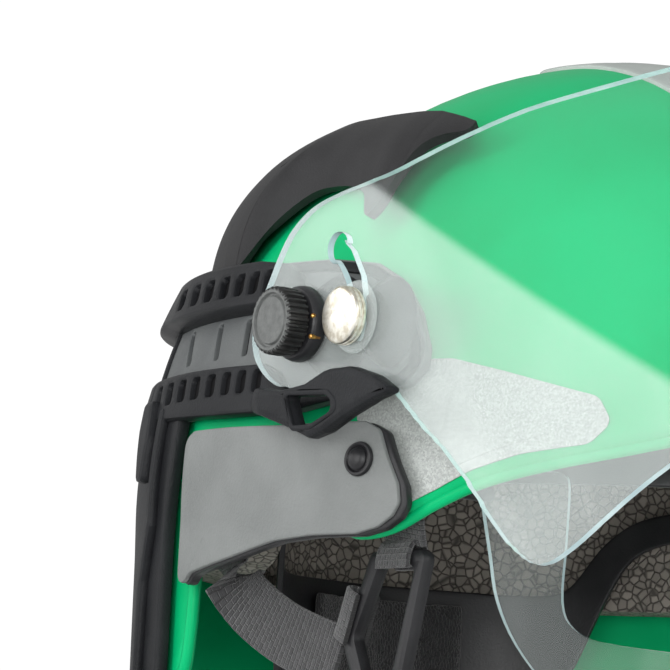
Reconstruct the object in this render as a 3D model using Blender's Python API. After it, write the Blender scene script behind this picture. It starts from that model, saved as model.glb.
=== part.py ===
"""Forestry helmet with a clear visor, built sub-part by sub-part.

Axes: +Z up, the front is -Y, the wearer's right is -X.  The origin lies on the plane of the helmet's
widest section.  Sizes are in millimetres and turn into metres where a mesh is made.
"""
import math

import bmesh
import bpy
from mathutils import Matrix, Vector

MM = 0.001
GAP = 0.3

# The dome is half an ellipsoid over a straight wall; every fitted part is an offset of it.
HALF_WIDTH = 120.0
FRONT_REACH = 148.0
REAR_REACH = 152.0
CROWN_HEIGHT = 138.0
SHELL_WALL = 3.5
SHELL_FLOOR = -52.0

# Liner, in distances inside the shell's outer face.
LINER_OUTER = 12.0
LINER_INNER = 32.0

# Visor hardware on the wearer's right; the left is its mirror image.
PIVOT_Y = -29.0
PIVOT_Z = 47.5
STUD_Y = -53.0
STUD_Z = 48.0
VISOR_HALF = 128.0
VISOR_WALL = 2.0
VISOR_RAISE = math.radians(35.0)

# Side frame, in distances outside the shell.
FRAME_INNER = 1.2
FRAME_OUTER = 8.6
PANEL_OUTER = 5.2
FRAME_SPLIT_Y = 78.0

PLATE_INNER = 2.6
PLATE_OUTER = 7.2

HEAD_INNER = 33.5
SHIELD_OUTER = 12.5
SHIELD_WALL = 2.2
RATCHET_Z = -34.0
RATCHET_Y = 117.0


# ---------------------------------------------------------------- helpers

def paint(name, colour, roughness, metallic=0.0, alpha=1.0):
    """A plain material with the part's colour."""
    material = bpy.data.materials.get(name) or bpy.data.materials.new(name)
    material.use_nodes = True
    shader = material.node_tree.nodes["Principled BSDF"]
    shader.inputs["Base Color"].default_value = (*colour, 1.0)
    shader.inputs["Roughness"].default_value = roughness
    shader.inputs["Metallic"].default_value = metallic
    shader.inputs["Alpha"].default_value = alpha
    material.diffuse_color = (*colour, alpha)
    return material


def add_object(name, mesh_maker, material=None):
    """Turn a bmesh, with coordinates in millimetres, into a named object."""
    bmesh.ops.scale(mesh_maker, vec=(MM, MM, MM), verts=mesh_maker.verts)
    mesh = bpy.data.meshes.new(name)
    mesh_maker.to_mesh(mesh)
    mesh_maker.free()
    thing = bpy.data.objects.new(name, mesh)
    bpy.context.scene.collection.objects.link(thing)
    if material:
        mesh.materials.append(material)
    return thing


def settle(thing):
    """Apply an object's modifiers to its mesh."""
    graph = bpy.context.evaluated_depsgraph_get()
    shaped = bpy.data.meshes.new_from_object(thing.evaluated_get(graph))
    old = thing.data
    thing.modifiers.clear()
    thing.data = shaped
    bpy.data.meshes.remove(old)


def combine(thing, tool, operation):
    """Boolean of an object with a tool, which is used up."""
    modifier = thing.modifiers.new("Combine", "BOOLEAN")
    modifier.operation = operation
    modifier.solver = "EXACT"
    modifier.object = tool
    settle(thing)
    bpy.data.objects.remove(tool)


def cut(thing, tool):
    combine(thing, tool, "DIFFERENCE")


def trim(thing, tool):
    combine(thing, tool, "INTERSECT")


def join(thing, tool):
    combine(thing, tool, "UNION")


def smooth(thing, limit=40.0):
    """Smooth shading with the edges sharper than the limit kept hard."""
    thing.data.shade_smooth()
    thing.data.set_sharp_from_angle(angle=math.radians(limit))


def mirrored(thing, name):
    """The wearer's left twin of a part on the right."""
    maker = bmesh.new()
    maker.from_mesh(thing.data)
    bmesh.ops.scale(maker, vec=(-1.0, 1.0, 1.0), verts=maker.verts)
    bmesh.ops.reverse_faces(maker, faces=maker.faces)
    mesh = bpy.data.meshes.new(name)
    maker.to_mesh(mesh)
    maker.free()
    for material in thing.data.materials:
        mesh.materials.append(material)
    twin = bpy.data.objects.new(name, mesh)
    bpy.context.scene.collection.objects.link(twin)
    smooth(twin)
    return twin


def set_origin(thing, place):
    """Move an object's origin to a place given in millimetres."""
    move = Vector(place) * MM
    thing.data.transform(Matrix.Translation(-move))
    thing.location = move


def rounded(corners, steps=4):
    """Outline from (a, b, radius) corners, each corner turned into an arc."""
    points = []
    count = len(corners)
    for index, (a, b, radius) in enumerate(corners):
        here = Vector((a, b))
        if radius == 0:
            points.append(here)
            continue
        back = (Vector(corners[index - 1][:2]) - here).normalized()
        ahead = (Vector(corners[(index + 1) % count][:2]) - here).normalized()
        half = back.angle(ahead) / 2
        centre = here + (back + ahead).normalized() * (radius / math.sin(half))
        start = here + back * (radius / math.tan(half)) - centre
        sweep = start.angle_signed(here + ahead * (radius / math.tan(half)) - centre)
        for step in range(steps + 1):
            turn = -sweep * step / steps
            arm = Matrix.Rotation(turn, 2) @ start
            points.append(centre + arm)
    return points


def circle(a, b, radius, steps=24):
    """Points of a circle."""
    turns = [2 * math.pi * step / steps for step in range(steps)]
    return [Vector((a + radius * math.cos(turn), b + radius * math.sin(turn))) for turn in turns]


AXIS_PLACES = {
    "X": lambda a, b, along: Vector((along, a, b)),
    "Y": lambda a, b, along: Vector((a, along, b)),
    "Z": lambda a, b, along: Vector((a, b, along)),
}


def prism(name, outline, start, end, axis="X", material=None):
    """An outline pushed along an axis; the outline's two numbers are the other axes in order."""
    place = AXIS_PLACES[axis]
    maker = bmesh.new()
    near = [maker.verts.new(place(a, b, start)) for a, b in outline]
    far = [maker.verts.new(place(a, b, end)) for a, b in outline]
    maker.faces.new(near)
    maker.faces.new(far)
    count = len(near)
    for index in range(count):
        after = (index + 1) % count
        maker.faces.new((near[index], near[after], far[after], far[index]))
    bmesh.ops.recalc_face_normals(maker, faces=maker.faces)
    return add_object(name, maker, material)


def box(name, low, high, material=None):
    """A box between two corners."""
    outline = [(low[1], low[2]), (high[1], low[2]), (high[1], high[2]), (low[1], high[2])]
    return prism(name, outline, low[0], high[0], "X", material)


def pin(name, centre, radius, start, end, axis="X", steps=24, material=None):
    """A round bar along an axis; the centre is on the other two axes in order."""
    return prism(name, circle(*centre, radius, steps), start, end, axis, material)


def dome_point(turn, height, offset):
    """A point over the dome: turn 0 is the front, a quarter turn the wearer's right."""
    reach = FRONT_REACH if math.cos(turn) > 0 else REAR_REACH
    climb = max(height, 0.0)
    width = math.sqrt(max(0.0, 1.0 - (climb / CROWN_HEIGHT) ** 2))
    point = Vector((-HALF_WIDTH * math.sin(turn) * width, -reach * math.cos(turn) * width, height))
    slope = Vector((point.x / HALF_WIDTH ** 2, point.y / reach ** 2, climb / CROWN_HEIGHT ** 2))
    return point + offset * slope.normalized()


def dome_layer(name, outer, inner, floor=SHELL_FLOOR, material=None, turns=56, rises=11):
    """A closed dome-shaped layer between two distances from the shell's outer face.

    The outer distance may be a function of the height.
    """
    climbs = [CROWN_HEIGHT * math.sin(math.pi / 2 * rise / rises) for rise in range(rises)]
    heights = [floor] + [height for height in climbs if height > floor + 1.0]
    maker = bmesh.new()
    skins = []
    for distance in (outer, inner):
        measure = distance if callable(distance) else lambda height, fixed=distance: fixed
        rings = []
        for height in heights:
            angles = [2 * math.pi * step / turns for step in range(turns)]
            rings.append([maker.verts.new(dome_point(angle, height, measure(height))) for angle in angles])
        pole = maker.verts.new((0.0, 0.0, CROWN_HEIGHT + measure(CROWN_HEIGHT)))
        skins.append((rings, pole))
        for lower, upper in zip(rings, rings[1:]):
            for step in range(turns):
                after = (step + 1) % turns
                maker.faces.new((lower[step], lower[after], upper[after], upper[step]))
        for step in range(turns):
            maker.faces.new((rings[-1][step], rings[-1][(step + 1) % turns], pole))
    for step in range(turns):
        after = (step + 1) % turns
        outer_ring, inner_ring = skins[0][0][0], skins[1][0][0]
        maker.faces.new((outer_ring[step], outer_ring[after], inner_ring[after], inner_ring[step]))
    bmesh.ops.recalc_face_normals(maker, faces=maker.faces)
    return add_object(name, maker, material)


def ribbon(name, route, across, width, thickness, material):
    """A flat strap along a route; across is the direction of its width."""
    maker = bmesh.new()
    points = [Vector(point) for point in route]
    rings = []
    for index, point in enumerate(points):
        before = points[max(index - 1, 0)]
        after = points[min(index + 1, len(points) - 1)]
        along = (after - before).normalized()
        side = Vector(across)
        side = (side - side.dot(along) * along).normalized() * width / 2
        deep = along.cross(side).normalized() * thickness / 2
        corners = (side + deep, -side + deep, -side - deep, side - deep)
        rings.append([maker.verts.new(point + corner) for corner in corners])
    for lower, upper in zip(rings, rings[1:]):
        for index in range(4):
            after = (index + 1) % 4
            maker.faces.new((lower[index], lower[after], upper[after], upper[index]))
    maker.faces.new(rings[0])
    maker.faces.new(rings[-1])
    bmesh.ops.recalc_face_normals(maker, faces=maker.faces)
    strap = add_object(name, maker, material)
    smooth(strap)
    return strap


def clear_scene():
    """Start from an empty scene."""
    for thing in list(bpy.data.objects):
        bpy.data.objects.remove(thing)


# ---------------------------------------------------------------- materials

GREEN = paint("green shell", (0.006, 0.48, 0.216), 0.28)
CLEAR = paint("clear polycarbonate", (0.80, 0.88, 0.86), 0.08, alpha=0.35)
BLACK = paint("black moulded nylon", (0.045, 0.045, 0.047), 0.55)
PLATE = paint("grained black plate", (0.10, 0.105, 0.10), 0.6)
GREY = paint("light grey top plate", (0.45, 0.45, 0.44), 0.45)
SILVER = paint("silver reflective film", (0.60, 0.61, 0.57), 0.4)
NICKEL = paint("nickel plated metal", (0.82, 0.80, 0.72), 0.18, metallic=1.0)
WASHER = paint("clear washer", (0.75, 0.77, 0.72), 0.15)
FOAM = paint("bead foam liner", (0.20, 0.18, 0.16), 0.85)
PADDING = paint("black pad fabric", (0.03, 0.03, 0.032), 0.95)
WEBBING = paint("black webbing", (0.02, 0.02, 0.022), 0.85)


# ---------------------------------------------------------------- shell and fixed covers

def make_shell():
    """Green outer shell: deep at the rear, with an arch over each ear and a raised brow edge."""
    shell = dome_layer("outer_shell", 0.0, -SHELL_WALL, material=GREEN, turns=64, rises=12)
    below = rounded([
        (-200, 26, 0), (-107, 11, 20), (-73, 3, 20), (-50, -9, 8), (-37, -9, 6), (-30, 4, 8),
        (24, 4, 8), (35, -16, 6), (38, -70, 0), (-200, -70, 0),
    ])
    cut(shell, prism("under the rim", below, -150, 150))
    smooth(shell)
    return shell


def make_top_plate():
    """Light grey plate along the crown, where a lamp can be fixed."""
    plate = dome_layer("top_plate", 4.2, GAP * 2, floor=0.0, material=GREY)
    outline = rounded([(-20, 30, 10), (20, 30, 10), (26, -70, 8), (-26, -70, 8)])
    trim(plate, prism("plate outline", outline, 100, 160, "Z"))
    seat = [(-12, -30), (12, -30), (12, 0), (-12, 0)]
    cut(plate, prism("lamp seat", seat, 140.6, 160, "Z"))
    smooth(plate)
    return plate


def hood_outer(height):
    """Distance of the hood's outer face: close to the shell low down, well off it higher up."""
    rise = min(max((height - 62.0) / 34.0, 0.0), 1.0)
    fall = min(max((height - 100.0) / 24.0, 0.0), 1.0)
    return 5.5 + 7.5 * math.sin(rise * math.pi / 2) - 4.0 * fall


def hood_inner(height):
    return hood_outer(height) - 3.0


def make_hood():
    """Black rear hood: a band around the back with a forward foot and a swept tail on each side."""
    hood = dome_layer("rear_hood", hood_outer, hood_inner, floor=40.0, material=BLACK, rises=20)
    outline = rounded([
        (-46, 107, 1.5), (-32, 101, 10), (-31, 82, 4), (-21, 81, 4), (-10, 92, 14), (20, 94, 24),
        (44, 78, 16), (46, 71.5, 0), (190, 71.5, 0), (190, 116.5, 0), (-18, 116.5, 30),
    ], steps=5)
    trim(hood, prism("hood outline", outline, -160, 160))
    smooth(hood)
    return hood


# ---------------------------------------------------------------- frame

def slot_row(thing, centres, low, high, width, lean):
    """Cut a row of slots through a frame, each leaning to the rear on its way down."""
    for centre in centres:
        half = width / 2
        outline = rounded([
            (centre - half, high, 0.8), (centre + half, high, 0.8),
            (centre + half + lean, low, 0.8), (centre - half + lean, low, 0.8),
        ], steps=2)
        cut(thing, prism("slot", outline, -160, -60))


def make_side_frame():
    """Louvred frame on the wearer's right: two bars, a recessed panel and the visor's mounting area."""
    frame = dome_layer("side_frame_right", FRAME_OUTER, FRAME_INNER, floor=10.0, material=BLACK)
    outline = rounded([
        (FRAME_SPLIT_Y, 70, 0), (-28, 70, 12), (-46, 62, 12), (-60, 42, 10), (-57, 31, 4),
        (-26, 24.5, 6), (FRAME_SPLIT_Y, 24.5, 0),
    ])
    trim(frame, prism("frame outline", outline, -160, -40))
    pocket = dome_layer("pocket", 20.0, PANEL_OUTER, floor=10.0)
    recess = rounded([(FRAME_SPLIT_Y + 4, 57, 0), (-2, 55, 4), (-2, 41, 4), (FRAME_SPLIT_Y + 4, 41, 0)])
    trim(pocket, prism("recess", recess, -160, -40))
    cut(frame, pocket)
    seat = dome_layer("seat", 20.0, PANEL_OUTER + 0.8, floor=10.0)
    seat_area = rounded([(-4, 80, 0), (-4, 20, 0), (-80, 20, 0), (-80, 80, 0)])
    trim(seat, prism("seat area", seat_area, -160, -40))
    cut(frame, seat)
    slot_row(frame, [4 + 9.2 * step for step in range(6)], 60.5, 66.5, 5.6, 0.8)
    slot_row(frame, [14 + 16.5 * step for step in range(3)], 42.5, 54, 2.6, 2.0)
    slot_row(frame, [-0.5 + 8.6 * step for step in range(6)], 30.5, 37, 5.2, 0.8)
    add_arm(frame)
    smooth(frame)
    return frame


def add_arm(frame):
    """Arm that stands outside the visor and carries an eye-shaped accessory socket."""
    arm_inner, arm_outer = -(VISOR_HALF + 1.6), -(VISOR_HALF + 7.0)
    outline = rounded([
        (-28, 29.5, 8), (-39, 30.5, 8), (-49, 34, 10), (-60, 34, 8), (-71, 31, 4), (-80, 26.5, 1),
        (-71, 24.2, 6), (-59, 20.3, 8), (-48, 15.5, 6), (-40, 15, 4), (-30, 18.5, 8), (-4, 22.5, 8),
        (10, 23.5, 2), (10, 30, 2), (-16, 30, 3),
    ])
    join(frame, prism("arm", outline, arm_inner, arm_outer))
    root = rounded([(9, 29, 1), (-1, 29, 1), (-1, 24.2, 1), (9, 24.2, 1)])
    join(frame, prism("arm root", root, -(HALF_WIDTH + 3.0), arm_outer + 1.0))
    socket = rounded([(-31, 27.5, 1), (-35.5, 18.8, 2), (-44, 19, 2), (-56, 23.2, 2), (-50, 26.6, 2)])
    cut(frame, prism("socket", socket, -160, -110))
    cut(frame, pin("pivot hole", (PIVOT_Y, PIVOT_Z), 4.0 + GAP, -160, -60))
    cut(frame, pin("stud hole", (STUD_Y, STUD_Z), 3.0 + GAP, -160, -60))


def make_rear_frame():
    """The part of the louvred frame that runs round the back between the two side frames."""
    frame = dome_layer("rear_frame", FRAME_OUTER, FRAME_INNER, floor=10.0, material=BLACK)
    edge = FRAME_SPLIT_Y + GAP
    trim(frame, box("rear area", (-160, edge, 24.5), (160, 190, 70)))
    pocket = dome_layer("pocket", 20.0, PANEL_OUTER, floor=10.0)
    trim(pocket, box("recess", (-160, edge - 2, 41), (160, 190, 57)))
    cut(frame, pocket)
    for low, high in ((60.5, 66.5), (30.5, 37.0)):
        for place in range(-4, 5):
            middle = 10.5 * place
            cut(frame, box("slot", (middle - 3, 90, low), (middle + 3, 190, high)))
    smooth(frame)
    return frame


def make_nape_strut():
    """Upright strut from the lower bar down the rear corner, with a raised rib."""
    strut = dome_layer("nape_strut_right", 6.6, FRAME_INNER, floor=-70.0, material=BLACK)
    outline = rounded([(44, 24.2, 2), (92, 24.2, 2), (82, -10, 20), (80, -62, 4), (44, -62, 4)])
    trim(strut, prism("strut outline", outline, -160, -40))
    groove = dome_layer("groove", 20.0, 3.0, floor=-80.0)
    trim(groove, box("groove area", (-160, 40, -75), (-40, 52, 30)))
    cut(strut, groove)
    for height in (-4.0, -14.0, -24.0):
        notch = dome_layer("notch", 20.0, 4.6, floor=-80.0)
        trim(notch, box("notch area", (-160, 66, height), (-40, 76, height + 4)))
        cut(strut, notch)
    smooth(strut)
    return strut


def make_cover_plate():
    """Smooth plate over the ear arch."""
    plate = dome_layer("cover_plate_right", PLATE_OUTER, PLATE_INNER, floor=-40.0, material=PLATE)
    outline = rounded([
        (34, 22.5, 4), (-51, 20.5, 5), (-63, -1, 8), (-54, -11, 5), (-40, -9, 10), (-14, -13, 20),
        (22, -20, 10), (34, -25, 3),
    ])
    trim(plate, prism("plate outline", outline, -160, -60))
    smooth(plate)
    return plate


def make_cover_stud():
    """Press stud on the cover plate."""
    seat = dome_point(math.radians(71.5), 10.0, PLATE_OUTER + GAP)
    outward = (dome_point(math.radians(71.5), 10.0, PLATE_OUTER + 10.0) - seat).normalized()
    maker = bmesh.new()
    bmesh.ops.create_cone(maker, cap_ends=True, segments=24, radius1=4.6, radius2=3.6, depth=2.2)
    turn = outward.to_track_quat("Z", "X").to_matrix().to_4x4()
    shift = Matrix.Translation(seat + outward * 1.25)
    bmesh.ops.transform(maker, matrix=shift @ turn, verts=maker.verts)
    stud = add_object("cover_stud_right", maker, BLACK)
    smooth(stud)
    return stud


def make_decal():
    """Silver reflective film on the shell between the plate and the brow."""
    decal = dome_layer("reflective_decal_right", 0.75, GAP, floor=-20.0, material=SILVER, turns=64, rises=12)
    outline = rounded([
        (-36, 22, 1.5), (-43, 29, 3), (-50, 34, 3), (-55, 39, 3), (-64, 39, 4), (-94, 31, 20),
        (-103, 28.5, 3), (-107, 21, 4), (-103, 15.5, 3), (-86, 12, 20), (-72, 6.2, 20), (-57, -1.6, 1),
        (-54, -1, 1), (-52, 5.5, 5), (-44.5, 18.5, 5),
    ])
    trim(decal, prism("decal outline", outline, -160, -40))
    smooth(decal)
    return decal


# ---------------------------------------------------------------- visor and its hardware

def visor_plan(step, steps, inset):
    """Point on the visor's plan: straight cheeks joined by half an ellipse in front."""
    cheek = -50.0
    nose = 130.0
    half = VISOR_HALF - inset
    turn = math.pi * step / steps
    return Vector((-half * math.cos(turn), cheek - (nose - inset) * math.sin(turn)))


def make_visor():
    """Clear visor, modelled lowered and then raised about its pivot to the rest pose."""
    steps = 56
    outer = [Vector((-VISOR_HALF, 8.0))] + [visor_plan(step, steps, 0.0) for step in range(steps + 1)]
    outer.append(Vector((VISOR_HALF, 8.0)))
    thin = VISOR_HALF - VISOR_WALL
    inner = [Vector((-thin, 8.0))] + [visor_plan(step, steps, VISOR_WALL) for step in range(steps + 1)]
    inner.append(Vector((thin, 8.0)))
    visor = prism("visor", outer + inner[::-1], -90, 90, "Z", CLEAR)
    side = [(PIVOT_Y + a, PIVOT_Z + b, radius) for a, b, radius in (
        (23, -8, 16), (24, 14, 16), (0, 28, 16), (-24, 25, 20), (-48, 14, 30), (-150, -2, 0),
        (-156, -2, 0), (-156, -112, 0), (-84, -112, 10), (-62, -119, 16), (-41, -119, 12),
        (-36, -86, 20), (-22, -38, 10), (2, -21, 8),
    )]
    trim(visor, prism("visor outline", rounded(side, steps=6), -160, 160))
    nose = rounded([(-34, -80, 10), (-16, -46, 14), (16, -46, 14), (34, -80, 10)], steps=5)
    cut(visor, prism("nose opening", nose, -200, -100, "Y"))
    pivot_hole = pin("pivot hole", (PIVOT_Y, PIVOT_Z), 4.0 + 2 * GAP, -160, 160)
    cut(visor, pivot_hole)
    cut(visor, prism("guide slot", slot_outline(), -160, 160))
    raise_visor(visor)
    smooth(visor)
    return visor


def slot_outline():
    """Curved slot around the pivot with a round keyhole at its upper end, in the lowered pose."""
    radius = math.hypot(STUD_Y - PIVOT_Y, STUD_Z - PIVOT_Z)
    neck, bulb = 3.0, 4.3
    first = math.pi - math.atan2(STUD_Z - PIVOT_Z, PIVOT_Y - STUD_Y) + VISOR_RAISE
    first += math.radians(8.0)
    last = first - math.radians(66.0)
    steps = 12
    angles = [first + (last - first) * step / steps for step in range(steps + 1)]
    pivot = Vector((PIVOT_Y, PIVOT_Z))
    rays = [Vector((math.cos(angle), math.sin(angle))) for angle in angles]
    outer = [pivot + ray * (radius + neck) for ray in rays]
    inner = [pivot + ray * (radius - neck) for ray in rays]
    end = pivot + rays[-1] * radius
    opening = math.radians(45.0)
    arc = [end + bulb * Vector((math.cos(last + turn), math.sin(last + turn)))
           for turn in [opening - (opening * 2 + math.pi / 2) * step / 10 for step in range(11)]]
    return outer[:-1] + arc + inner[:-1][::-1]


def raise_visor(visor):
    """Turn the lowered visor up to its rest pose and put its origin on the pivot."""
    set_origin(visor, (0.0, PIVOT_Y, PIVOT_Z))
    visor.data.transform(Matrix.Rotation(-VISOR_RAISE, 4, "X"))


def turned(name, profile, place, material, steps=32):
    """A round part about an axis along X: the profile is (x, radius) pairs, closed by its ends."""
    maker = bmesh.new()
    rings = []
    for along, radius in profile:
        points = [(along, a, b) for a, b in circle(*place, radius, steps)]
        rings.append([maker.verts.new(point) for point in points])
    for lower, upper in zip(rings, rings[1:]):
        for index in range(steps):
            after = (index + 1) % steps
            maker.faces.new((lower[index], lower[after], upper[after], upper[index]))
    maker.faces.new(rings[0])
    maker.faces.new(rings[-1])
    bmesh.ops.recalc_face_normals(maker, faces=maker.faces)
    part = add_object(name, maker, material)
    smooth(part, 30.0)
    return part


def make_pivot_post():
    """Post through the visor's pivot hole."""
    start = -(VISOR_HALF - 14.0)
    return turned("pivot_post_right", [(start, 4.0), (-(VISOR_HALF + 4.6), 4.0)], (PIVOT_Y, PIVOT_Z), NICKEL)


def make_collar():
    """Black collar between the visor and the knob."""
    collar = turned("clamp_collar_right", [
        (-(VISOR_HALF + GAP), 10.4), (-(VISOR_HALF + 3.6), 10.4), (-(VISOR_HALF + 4.6), 9.4),
    ], (PIVOT_Y, PIVOT_Z), BLACK)
    cut(collar, pin("bore", (PIVOT_Y, PIVOT_Z), 4.0 + GAP, -160, -100))
    smooth(collar, 30.0)
    return collar


def make_knob():
    """Fluted clamping knob on the post."""
    teeth, inner, outer = 30, 8.7, 9.5
    outline = []
    for tooth in range(teeth):
        for part, radius in ((0.0, inner), (0.25, outer), (0.6, outer), (0.85, inner)):
            turn = 2 * math.pi * (tooth + part) / teeth
            outline.append(Vector((radius * math.cos(turn), radius * math.sin(turn))))
    start, end = -(VISOR_HALF + 4.9), -(VISOR_HALF + 12.0)
    knob = prism("clamp_knob_right", outline, start, end, material=BLACK)
    knob.data.transform(Matrix.Translation(Vector((0.0, PIVOT_Y, PIVOT_Z)) * MM))
    return knob


def make_visor_stud():
    """Mushroom-headed metal stud that runs in the visor's curved slot."""
    face = -(VISOR_HALF + 6.5)
    return turned("visor_stud_right", [
        (-(VISOR_HALF - 14.0), 2.6), (-(VISOR_HALF + 1.6), 2.6), (-(VISOR_HALF + 1.6), 6.6),
        (-(VISOR_HALF + 3.0), 6.6), (-(VISOR_HALF + 3.6), 8.0), (face + 0.8, 8.0), (face, 7.2),
    ], (STUD_Y, STUD_Z), NICKEL)


def make_washer():
    """Clear washer between the stud's head and the visor."""
    washer = turned("stud_washer_right", [
        (-(VISOR_HALF + GAP), 9.0), (-(VISOR_HALF + 1.3), 9.0),
    ], (STUD_Y, STUD_Z), WASHER)
    cut(washer, pin("bore", (STUD_Y, STUD_Z), 2.6 + GAP, -160, -100))
    smooth(washer, 30.0)
    return washer


# ---------------------------------------------------------------- liner, headband and pads

def make_liner():
    """Moulded bead-foam liner inside the shell."""
    liner = dome_layer("foam_liner", -LINER_OUTER, -LINER_INNER, floor=-30.0, material=FOAM)
    below = rounded([
        (-200, 34, 0), (-107, 18, 20), (-60, 12, 20), (-40, 10, 8), (24, 10, 8), (50, -14, 8),
        (200, -14, 0), (200, -90, 0), (-200, -90, 0),
    ])
    cut(liner, prism("under the liner", below, -150, 150))
    for side in (-1, 1):
        for place in (-40.0, 0.0, 40.0):
            cut(liner, pin("vent", (side * 38.0, place), 7.0, 60, 150, "Z", 16))
    smooth(liner)
    return liner


def make_headband():
    """Plastic band round the brow and temples, open at the back."""
    band = dome_layer("headband", -HEAD_INNER, -(HEAD_INNER + 2.2), floor=8.0, material=BLACK)
    trim(band, box("band area", (-160, -160, 9.5), (160, 62, 26)))
    smooth(band)
    return band


def make_nape_cradle():
    """Rear half of the headband, which slides forward as the ratchet is turned."""
    cradle = dome_layer("nape_cradle", -(HEAD_INNER + 4.0), -(HEAD_INNER + 6.4), floor=-48.0, material=BLACK)
    outline = rounded([
        (40, 22, 3), (74, 22, 10), (88, -10, 8), (200, -10, 0), (200, -47, 0), (86, -47, 14), (64, 9, 10), (40, 9, 3),
    ])
    trim(cradle, prism("cradle outline", outline, -160, 160))
    smooth(cradle)
    return cradle


def make_ratchet_housing():
    """Housing of the size adjuster behind the nape cradle."""
    low, high = RATCHET_Z - 12, RATCHET_Z + 13
    outline = rounded([(-24, low, 6), (24, low, 6), (24, high, 6), (-24, high, 6)])
    housing = prism("ratchet_housing", outline, RATCHET_Y, RATCHET_Y + 9.0, "Y", BLACK)
    smooth(housing)
    return housing


def make_ratchet_knob():
    """Fluted wheel of the size adjuster."""
    teeth = 24
    outline = []
    for tooth in range(teeth):
        for part, radius in ((0.0, 14.2), (0.3, 15.6), (0.65, 15.6), (0.9, 14.2)):
            turn = 2 * math.pi * (tooth + part) / teeth
            outline.append(Vector((radius * math.cos(turn), radius * math.sin(turn))))
    start = RATCHET_Y + 9.0 + GAP
    knob = prism("ratchet_knob", outline, 0.0, 10.0, "Y", BLACK)
    knob.location = Vector((0.0, start, RATCHET_Z)) * MM
    return knob


def make_pads():
    """Soft pads on the brow, the crown and the nape."""
    brow = dome_layer("brow_pad", -(HEAD_INNER + 2.6), -(HEAD_INNER + 8.0), floor=7.0, material=PADDING)
    trim(brow, box("brow area", (-160, -160, 8), (160, -30, 28)))
    crown = dome_layer("crown_pad", -(LINER_INNER + 0.4), -(LINER_INNER + 7.0), floor=0.0, material=PADDING)
    trim(crown, prism("crown area", circle(0.0, 5.0, 46.0, 32), 40, 160, "Z"))
    nape = dome_layer("nape_pad", -(HEAD_INNER + 6.8), -(HEAD_INNER + 11.5), floor=-46.0, material=PADDING)
    trim(nape, box("nape area", (-50, 60, -45), (50, 160, -13)))
    for pad in (brow, crown, nape):
        smooth(pad)
    return brow, crown, nape


# ---------------------------------------------------------------- eye shield

SHIELD_PIN_Y = -66.0
SHIELD_PIN_Z = 3.0


def make_eye_shield():
    """Clear inner eye shield, hung by an arm inside the rim on each side."""
    shield = dome_layer("eye_shield", -SHIELD_OUTER, -(SHIELD_OUTER + SHIELD_WALL), floor=-78.0, material=CLEAR)
    side = rounded([
        (-58, 8, 4), (-83, 8, 6), (-83, -30, 8), (-160, -36, 0), (-160, -72, 0), (-100, -76, 14),
        (-80, -62, 12), (-72, -30, 10),
    ])
    trim(shield, prism("shield outline", side, -160, 160))
    nose = rounded([(-26, -90, 2), (-13, -54, 12), (13, -54, 12), (26, -90, 2)])
    cut(shield, prism("nose opening", nose, -200, -90, "Y"))
    cut(shield, pin("pin hole", (SHIELD_PIN_Y, SHIELD_PIN_Z), 2.2 + GAP, -160, 160))
    set_origin(shield, (0.0, SHIELD_PIN_Y, SHIELD_PIN_Z))
    smooth(shield)
    return shield


def make_shield_pin():
    """Pin that hangs the eye shield from the inside of the shell."""
    return turned("shield_pin_right", [
        (-102.0, 2.2), (-90.0, 2.2),
    ], (SHIELD_PIN_Y, SHIELD_PIN_Z), BLACK, 16)


# ---------------------------------------------------------------- chin strap

STRAP_WIDTH = 18.0
STRAP_THICK = 1.5
DIVIDER_X = -101.0


def make_front_strap():
    """Front webbing from the inside of the shell down to the divider."""
    route = [(-105.5, -48.0, 8.0), (-104.0, -46.0, 0.0), (DIVIDER_X, -44.0, -9.0)]
    return ribbon("front_strap_right", route, (0, 1, 0), STRAP_WIDTH, STRAP_THICK, WEBBING)


def make_rear_strap():
    """Rear webbing from the inside of the shell down to the divider."""
    route = [(-109.0, 30.0, 8.0), (-108.0, 28.0, -20.0), (-105.0, 8.0, -34.0), (DIVIDER_X, -16.0, -42.0)]
    return ribbon("rear_strap_right", route, (0, 0.4, 1), STRAP_WIDTH, STRAP_THICK, WEBBING)


def make_divider():
    """Plastic frame where the front, rear and chin webbing meet."""
    outer = rounded([(-56, -12.4, 3), (-30, -12.4, 3), (-18.4, -38, 5), (-26, -52, 4), (-46, -52, 4)])
    inner = rounded([(-51, -17, 2), (-34, -17, 2), (-24, -36, 3), (-29, -46, 3), (-42, -46, 3)])
    divider = prism("strap_divider_right", outer, DIVIDER_X - 2.0, DIVIDER_X + 2.0, material=BLACK)
    cut(divider, prism("window", inner, -140, -60))
    smooth(divider)
    return divider


def make_chin_straps():
    """Chin webbing from each divider down to the buckle under the wearer's left jaw."""
    down = [(DIVIDER_X, -36.0, -54.0), (-96.0, -38.0, -76.0), (-82.0, -41.0, -98.0),
            (-60.0, -44.0, -114.0), (-30.0, -46.0, -121.0), (0.0, -46.0, -122.0), (22.5, -46.0, -121.5)]
    right = ribbon("chin_strap_right", down, (0, 1, 0), STRAP_WIDTH, STRAP_THICK, WEBBING)
    up = [(-DIVIDER_X, -36.0, -54.0), (99.5, -37.0, -66.0), (96.0, -38.5, -79.0)]
    left = ribbon("chin_strap_left", up, (0, 1, 0), STRAP_WIDTH, STRAP_THICK, WEBBING)
    return right, left


BUCKLE_LOW = Vector((26.6, -46.0, -120.9))
BUCKLE_HIGH = Vector((91.7, -39.0, -84.6))


def along_buckle(thing):
    """Lay a part modelled along +X onto the line between the two strap ends."""
    line = (BUCKLE_HIGH - BUCKLE_LOW).normalized()
    side = Vector((0, -1, 0))
    side = (side - side.dot(line) * line).normalized()
    up = line.cross(side)
    turn = Matrix((line, side, up)).transposed().to_4x4()
    thing.data.transform(Matrix.Translation(BUCKLE_LOW * MM) @ turn)


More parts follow.
